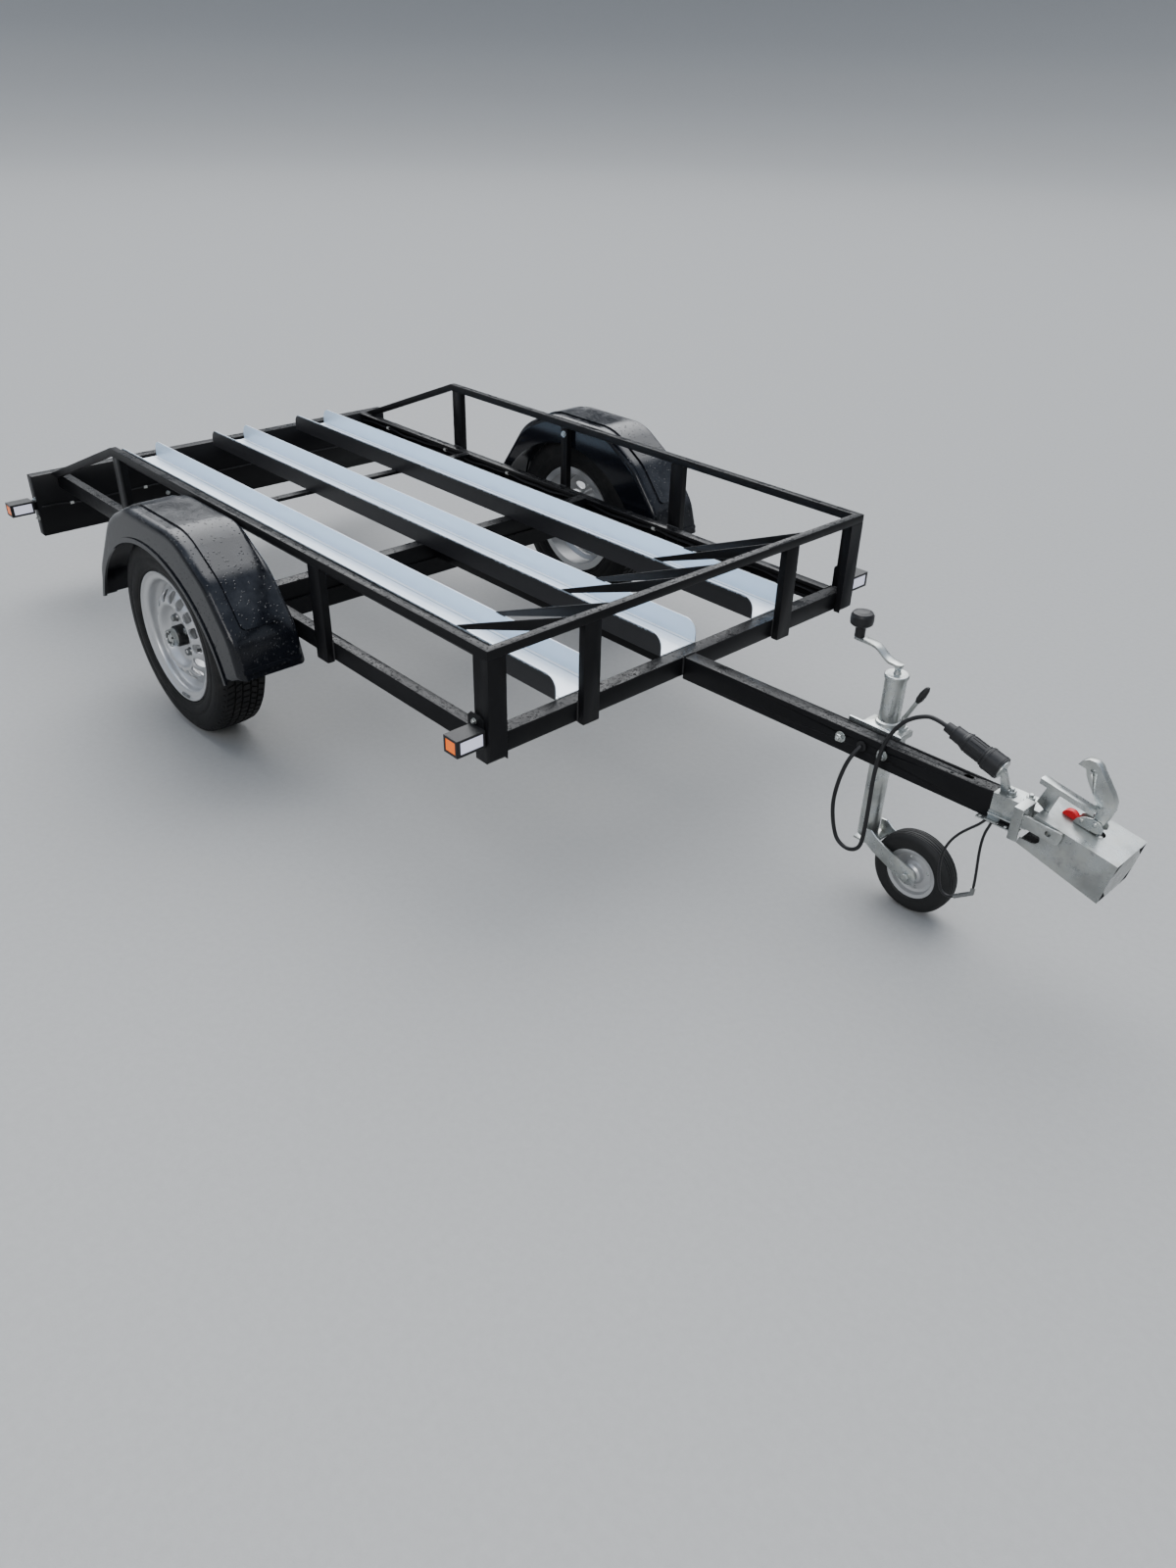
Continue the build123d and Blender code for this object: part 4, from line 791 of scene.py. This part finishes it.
def frame_bolts(finishes):
    """Bolts of the clamp, marker plates, mudguards, light board, lamps and coupling."""
    bolts = Piece()
    for x, z in CLAMP_BOLTS:
        bolts.hex_bolt((x, BAR_FACE, z), (0, -1, 0), 17, 8.5, 13, 6)
        bolts.hex_bolt((x, CLAMP_BACK, z), (0, 1, 0), 17, 7, 0)
    for side in (-1, 1):
        out = (0, side, 0)
        bolts.hex_bolt((1150, side * BRACKET_FACE, 452), out, 10, 5, 7.5)
        bolts.hex_bolt((1150, side * BRACKET_FACE, 382), out, 8, 5, 0)
        bolts.hex_bolt((4, side * HOOP_IN, STAY_Z), (0, -side, 0), 13, 6, 10.5)
        bolts.hex_bolt((4, side * 652.4, STAY_Z), out, 13, 6, 12, 4)
        bolts.hex_bolt((-362, side * STAY_FOOT, 352), out, 13, 6, 11)
        bolts.hex_bolt((386, side * STAY_FOOT, 372), out, 13, 6, 11)
        bolts.hex_bolt((BOARD_FRONT, side * 250, 262), (1, 0, 0), 10, 5, 8, 4)
        for z in (331, 266):
            bolts.hex_bolt((-1214, side * 712, z), out, 10, 6, 9, 4)
    bolts.hex_bolt((2058, -6, 435.4), (0, 0, 1), 17, 8, 12, 5)
    bolts.hex_bolt((2096, 0, 436.0), (0, 0, 1), 17, 8, 13, 6)
    for y in (-24, 24):
        bolts.hex_bolt((2104, y, 405), (0, y, 0), 13, 6, 10, 3)
    bolts.done("frame_bolts", finishes["bright_zinc"], "trailer_frame", 30, 0.0003)


LAMPS = (                    # lamp boxes: rear and front, near and outer sides, bottom
    (1140.0, 1186.0, 652.0, 728.0, 402.0), (-1250.0, -1204.0, 724.0, 800.0, 287.0),
)
LAMP_TALL, LAMP_BORDER, LAMP_PROUD, LAMP_SUNK = 42.0, 6.5, 0.8, 0.2


def lamp_frames(finishes):
    """Black borders of the side lamps, proud of their lenses."""
    piece = Piece()

    def border(near, far, trim, low, place):
        """Frame around one face. place gives the point at a way across, a height and a height over the face."""
        top, b = low + LAMP_TALL, LAMP_BORDER
        outer = [(near, low), (far, low), (far, top), (near, top)]
        inner = [(near + b, low + b), (far - trim, low + b), (far - trim, top - b), (near + b, top - b)]
        rings = ((outer, -LAMP_SUNK), (outer, LAMP_PROUD), (inner, LAMP_PROUD), (inner, -LAMP_SUNK))
        piece.skin([[place(u, z, over) for u, z in line] for line, over in rings])

    for x0, x1, y0, y1, z0 in LAMPS:
        for side in (-1, 1):
            for x, way in ((x1, 1), (x0, -1)) if x0 < 0 else ((x1, 1),):
                border(y0, y1, 1.4 * LAMP_BORDER, z0, lambda y, z, over: (x + way * over, side * y, z))
            border(x0, x1, LAMP_BORDER, z0, lambda x, z, over: (x, side * (y1 + over), z))
    piece.done("lamp_frames", finishes["black_plastic"], "trailer_frame", 30, 0.0003)


def welds(finishes):
    """Painted weld beads where tube and sheet meet."""
    beads = Piece()
    for side in (-1, 1):
        inner, outer, rail = side * HOOP_IN, side * HOOP_OUT, side * RAIL_IN
        for x, half in ((-584, 25), (523, 25), (4, 15)):
            back, front = x - half, x + half
            beads.weld_bead((back, inner, RAIL_UP), (front, inner, RAIL_UP))
            for end in (back, front):
                beads.weld_bead((end, inner, RAIL_UP), (end, inner, RAIL_DOWN))
            for end in (back, front):
                beads.weld_bead((end, inner, HOOP_TOP), (end, outer, HOOP_TOP), 2.4)
        for y in (325, 375):
            beads.weld_bead((CROSS_FRONT, side * y, RAIL_UP), (CROSS_FRONT, side * y, RAIL_DOWN))
        beads.weld_bead((CROSS_FRONT, side * 325, RAIL_UP), (CROSS_FRONT, side * 375, RAIL_UP))
        beads.weld_bead((1147, inner, RAIL_UP), (CROSS_FRONT, inner, RAIL_UP))
        beads.weld_bead((CROSS_FRONT, rail, RAIL_UP), (CROSS_FRONT, inner, RAIL_UP))
        beads.weld_bead((CROSS_BACK, rail, RAIL_UP), (CROSS_BACK, inner, RAIL_UP), 2.6)
        beads.weld_bead((110, rail, RAIL_UP), (150, rail, RAIL_UP), 2.6)
        beads.weld_bead((BOARD_FRONT, inner, 411), (BOARD_FRONT, rail, 411))
        beads.weld_bead((BOARD_FRONT, outer, 411), (BOARD_FRONT, side * 627, 411), 2.6)
        beads.weld_bead((CROSS_FRONT, side * 20, RAIL_UP), (CROSS_FRONT, side * 20, 366))
        beads.weld_bead((105, side * 611, 360), (155, side * 611, 360), 3.6)
    beads.weld_bead((CROSS_FRONT, -20, 413), (CROSS_FRONT, 20, 413))
    for middle in CHANNELS:
        for y in (middle - 61, middle + 61):
            beads.weld_bead((1174, y - 3, 606), (1174, y + 3, 606), 2.4)
            beads.weld_bead((772, y, 470), (806, y, 470), 2.0)
    beads.done("weld_beads", finishes["weld_paint"], "trailer_frame", 60)


def loom_at(x):
    """Centre of the loom, which sags between its clips, at a way along the rail."""
    return (x, 608 + 1.5 * sin(x / 130), 389 + 3.5 * sin(x / 61) + 2 * sin(x / 23))


def wiring(finishes):
    """Loom clipped along the far side rail and across the light board."""
    wires = Piece()
    wires.tube([loom_at(-1190 + 20 * n) for n in range(116)], 4.2, 10)
    board = (                # from a lamp to the middle of the board
        (-1202, 700, 306), (-1197, 690, 306), (-1197, 652, 307), (-1197, 618, 303), (-1197, 601, 299),
        (-1197, 560, 297), (-1197, 420, 300), (-1197, 250, 303), (-1197, 0, 302),
    )
    for side in (-1, 1):
        wires.tube([(x, side * y, z) for x, y, z in board], 2.4, 8)
    wires.done("wiring_loom", finishes["cable_sheath"], "trailer_frame", 60)
    clips = Piece()
    for x in (-1010, -640, -270, 95, 460, 830):
        clips.turned([(4.6, -6), (6.4, -6), (6.4, 6), (4.6, 6)], loom_at(x), (1, 0, 0), 16)
    for y in (-598, -330, 330, 598):
        clips.slab([(0, -6, -4), (0, 6, -4), (0, 6, 4), (0, -6, 4)], (BOARD_FRONT, y, 300), (1, 0, 0), 5.5)
    clips.done("cable_clips", finishes["pale_plastic"], "trailer_frame", 40, 0.0005)


def coupling_details(finishes):
    """Cheeks and screws at the handle's foot, the red indicator and the strap's edges."""
    cheeks = Piece()
    outline = [(-26, 0, 0), (-20, 0, 12), (-6, 0, 21), (10, 0, 24), (26, 0, 20), (34, 0, 10), (33, 0, 0), (22, 0, -4)]
    for y in (-13.0, 10.0):
        cheeks.slab(outline, (2216, y, 441), (0, 1, 0), 3)
    cheeks.done("handle_cheeks", finishes["bright_zinc"], "trailer_frame", 40, 0.0008)
    screws = Piece()
    for x, z in ((2206, 452), (2232, 455)):
        screws.turned([(0, 0), (5, 0), (4.8, 1.6), (3, 3), (0, 3.4)], (x, -13, z), (0, -1, 0), 20)
    screws.done("handle_screws", finishes["bright_zinc"], "trailer_frame")
    tab = Piece()
    arc = [radians(15 * n) for n in range(13)]
    tab.slab([(-17 * cos(t), 0, 17 * sin(t)) for t in arc], (2180, -6, 441), (0, 1, 0), 13)
    tab.done("red_indicator", finishes["red_plastic"], "trailer_frame", 30, 0.0015)
    lip = Piece()
    for y in (-31, 24):
        lip.slab([(0, 0, 0), (84, 0, 1.8), (84, 0, 4.8), (0, 0, 3)], (2030, y, 386.8), (0, 1, 0), 7)
    lip.done("saddle_lips", finishes["zinc"], "trailer_frame", 30, 0.0008)


PLUG_REAR, PLUG_FRONT = Vector((1892.0, -6.0, 520.0)), Vector((2027.0, -6.0, 481.0))


def plug_details(finishes):
    """Rings and grip ribs of the plug."""
    ahead = (PLUG_FRONT - PLUG_REAR).normalized()
    rings = Piece()
    bands = ((19, 16.6, 24), (45, 18.4, 50), (53, 21.0, 57), (96, 22.5, 101), (106, 25.7, 110), (132, 25.7, 138))
    for start, r, end in bands:
        rings.turned([(r - 3, start), (r, start + 0.8), (r, end - 0.8), (r - 3, end)], PLUG_REAR, ahead, 40)
    across = ahead.orthogonal().normalized()
    other = ahead.cross(across)
    for n in range(14):
        t = tau * n / 14
        out = across * cos(t) + other * sin(t)
        side = ahead.cross(out)
        root = PLUG_REAR + ahead * 60 + out * 19
        rings.slab([side * -1.3, side * 1.3, side * 1.3 + ahead * 34, side * -1.3 + ahead * 34], root, out, 2.0)
    rings.done("plug_ribs", finishes["black_plastic"], "trailer_frame", 30, 0.0004)


JOCKEY_X, JOCKEY_Y = 1720.0, 60.0
JOCKEY_AXLE = (1858.0, JOCKEY_Y, 100.0)


def jockey_tyre(finishes):
    """Small solid tyre with grooves around its tread."""
    wall = [
        (62.1, 20), (66, 23.4), (69, 24), (72, 23.6), (75, 24.4), (82, 24.8), (88, 24.8), (92, 23.2), (95.5, 19.6),
        (97.6, 17),
    ]
    tread = []
    for y in (13.5, 7.0):
        tread += [(98.6, y + 2.6), (98.8, y + 1.1), (96.6, y + 0.7), (96.6, y - 0.7), (99.2, y - 1.1)]
    tread += [(99.8, 2.2), (100, 1.2), (97.4, 0.7)]
    half = wall + tread
    profile = [(r, -y) for r, y in half] + [(r, y) for r, y in reversed(half)] + [(62.1, -20)]
    piece = Piece()
    piece.turned(profile, JOCKEY_AXLE, (0, 1, 0), 96)
    obj = piece.done("jockey_tyre_cover", finishes["jockey_rubber"], "jockey_wheel", 26)
    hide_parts("jockey_tyre")


def jockey_details(finishes):
    """Rivets of the jockey wheel's discs, its axle nuts and the ring welded under the crank."""
    rivets = Piece()
    for side in (-1, 1):
        for n in range(4):
            t = radians(20 + 90 * n)
            at = (JOCKEY_AXLE[0] + 38 * cos(t), JOCKEY_Y + side * 8.2, JOCKEY_AXLE[2] + 38 * sin(t))
            rivets.turned([(0, 0), (4, 0), (3.6, 1.4), (2, 2.4), (0, 2.6)], at, (0, side, 0), 16)
    rivets.done("jockey_rivets", finishes["bright_zinc"], "jockey_wheel")
    nuts = Piece()
    for side in (-1, 1):
        nuts.hex_bolt((JOCKEY_AXLE[0], JOCKEY_Y + side * 35, JOCKEY_AXLE[2]), (0, side, 0), 17, 8, 12, 0)
    nuts.done("jockey_nuts", finishes["bright_zinc"], "jockey_fork", 30, 0.0004)
    collar = Piece()
    foot = (JOCKEY_X, JOCKEY_Y, 435.6)
    collar.turned([(24.4, 0), (29, 0.4), (28.6, 2.6), (26, 4.2), (24.4, 5)], foot, (0, 0, 1), 48)
    collar.done("clamp_collar", finishes["bright_zinc"], "trailer_frame")


def fit_out(finishes):
    for word, side in (("right", -1), ("left", 1)):
        tyre(f"tyre_{word}_cover", side, finishes["tyre"])
        rim(f"rim_{word}_cover", side, finishes["rim_paint"])
        wheel_fittings(word, side, finishes)
    frame_bolts(finishes)
    lamp_frames(finishes)
    welds(finishes)
    wiring(finishes)
    coupling_details(finishes)
    plug_details(finishes)
    jockey_tyre(finishes)
    jockey_details(finishes)


# Cables

LIGHT_CABLE = (
    (1713.0, -23.0, 397.8), (1706.0, -41.0, 382.0), (1698.0, -51.0, 352.0), (1691.0, -57.0, 308.0),
    (1688.0, -60.0, 262.0), (1693.0, -60.0, 220.0), (1706.6, -60.0, 177.9), (1722.0, -60.0, 161.1),
    (1744.3, -60.0, 156.1), (1765.4, -60.0, 164.9), (1777.7, -60.0, 184.2), (1779.0, -59.0, 222.0),
    (1777.0, -55.0, 262.0), (1772.0, -48.0, 304.0), (1767.0, -41.0, 348.0), (1766.0, -34.0, 392.0),
    (1770.0, -28.0, 432.0), (1782.0, -20.0, 468.0), (1802.0, -12.0, 498.0), (1831.0, -7.0, 518.0),
    (1861.0, -6.0, 528.5), (1892.0, -6.0, 520.0),
)
SAFETY_CABLE = (
    (2034.0, -36.0, 376.0), (2024.0, -37.0, 360.0), (2006.0, -39.0, 341.0), (1986.0, -42.0, 317.0),
    (1971.0, -44.0, 289.0), (1963.0, -45.0, 259.0), (1962.0, -45.0, 229.0), (1966.0, -45.0, 201.0),
    (1972.3, -45.0, 178.4), (1978.2, -45.0, 167.2), (1989.4, -45.0, 161.3), (2001.9, -45.0, 163.0),
    (2010.0, -45.0, 169.0),
)
SAFETY_RETURN = (
    (2046.0, -43.0, 212.0), (2045.0, -42.0, 230.0), (2042.0, -40.0, 256.0), (2038.0, -38.0, 286.0),
    (2036.0, -37.0, 317.0), (2038.0, -36.0, 346.0), (2043.0, -36.0, 362.0), (2046.0, -36.0, 376.0),
)


def smooth_line(name, route, radius):
    """Round cord along a smooth curve with the route's points as its control points."""
    curve = bpy.data.curves.new(name, "CURVE")
    curve.dimensions = "3D"
    curve.bevel_depth, curve.bevel_resolution, curve.resolution_u = radius, 5, 8
    spline = curve.splines.new("NURBS")
    spline.points.add(len(route) - 1)
    for control, (x, y, z) in zip(spline.points, route):
        control.co = (*point(x, y, z), 1.0)
    spline.order_u = 3
    spline.use_endpoint_u = True
    curve.use_fill_caps = True
    obj = bpy.data.objects.new(name, curve)
    bpy.context.scene.collection.objects.link(obj)
    return obj


def lay_cables(finishes):
    cords = (
        ("light_cable", LIGHT_CABLE, CABLE_R, "plug", 0.735, ["plug"], "medium"),
        ("safety_cable", SAFETY_CABLE, SAFETY_R, "fitting", 0.267, ["safety_clip"], "limp"),
        ("safety_cable_return", SAFETY_RETURN, SAFETY_R, "object", 0.165, [], "limp"),
    )
    for name, route, radius, end, length, on_it, stiffness in cords:
        obj = smooth_line(f"{name}_sheath", route, radius)
        obj.data.materials.append(finishes["cable_sheath"])
        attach(obj, "trailer_frame")
        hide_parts(name)


aim_camera()
light_scene()
lay_floor()
finishes = dress_frame()
fit_out(finishes)
lay_cables(finishes)
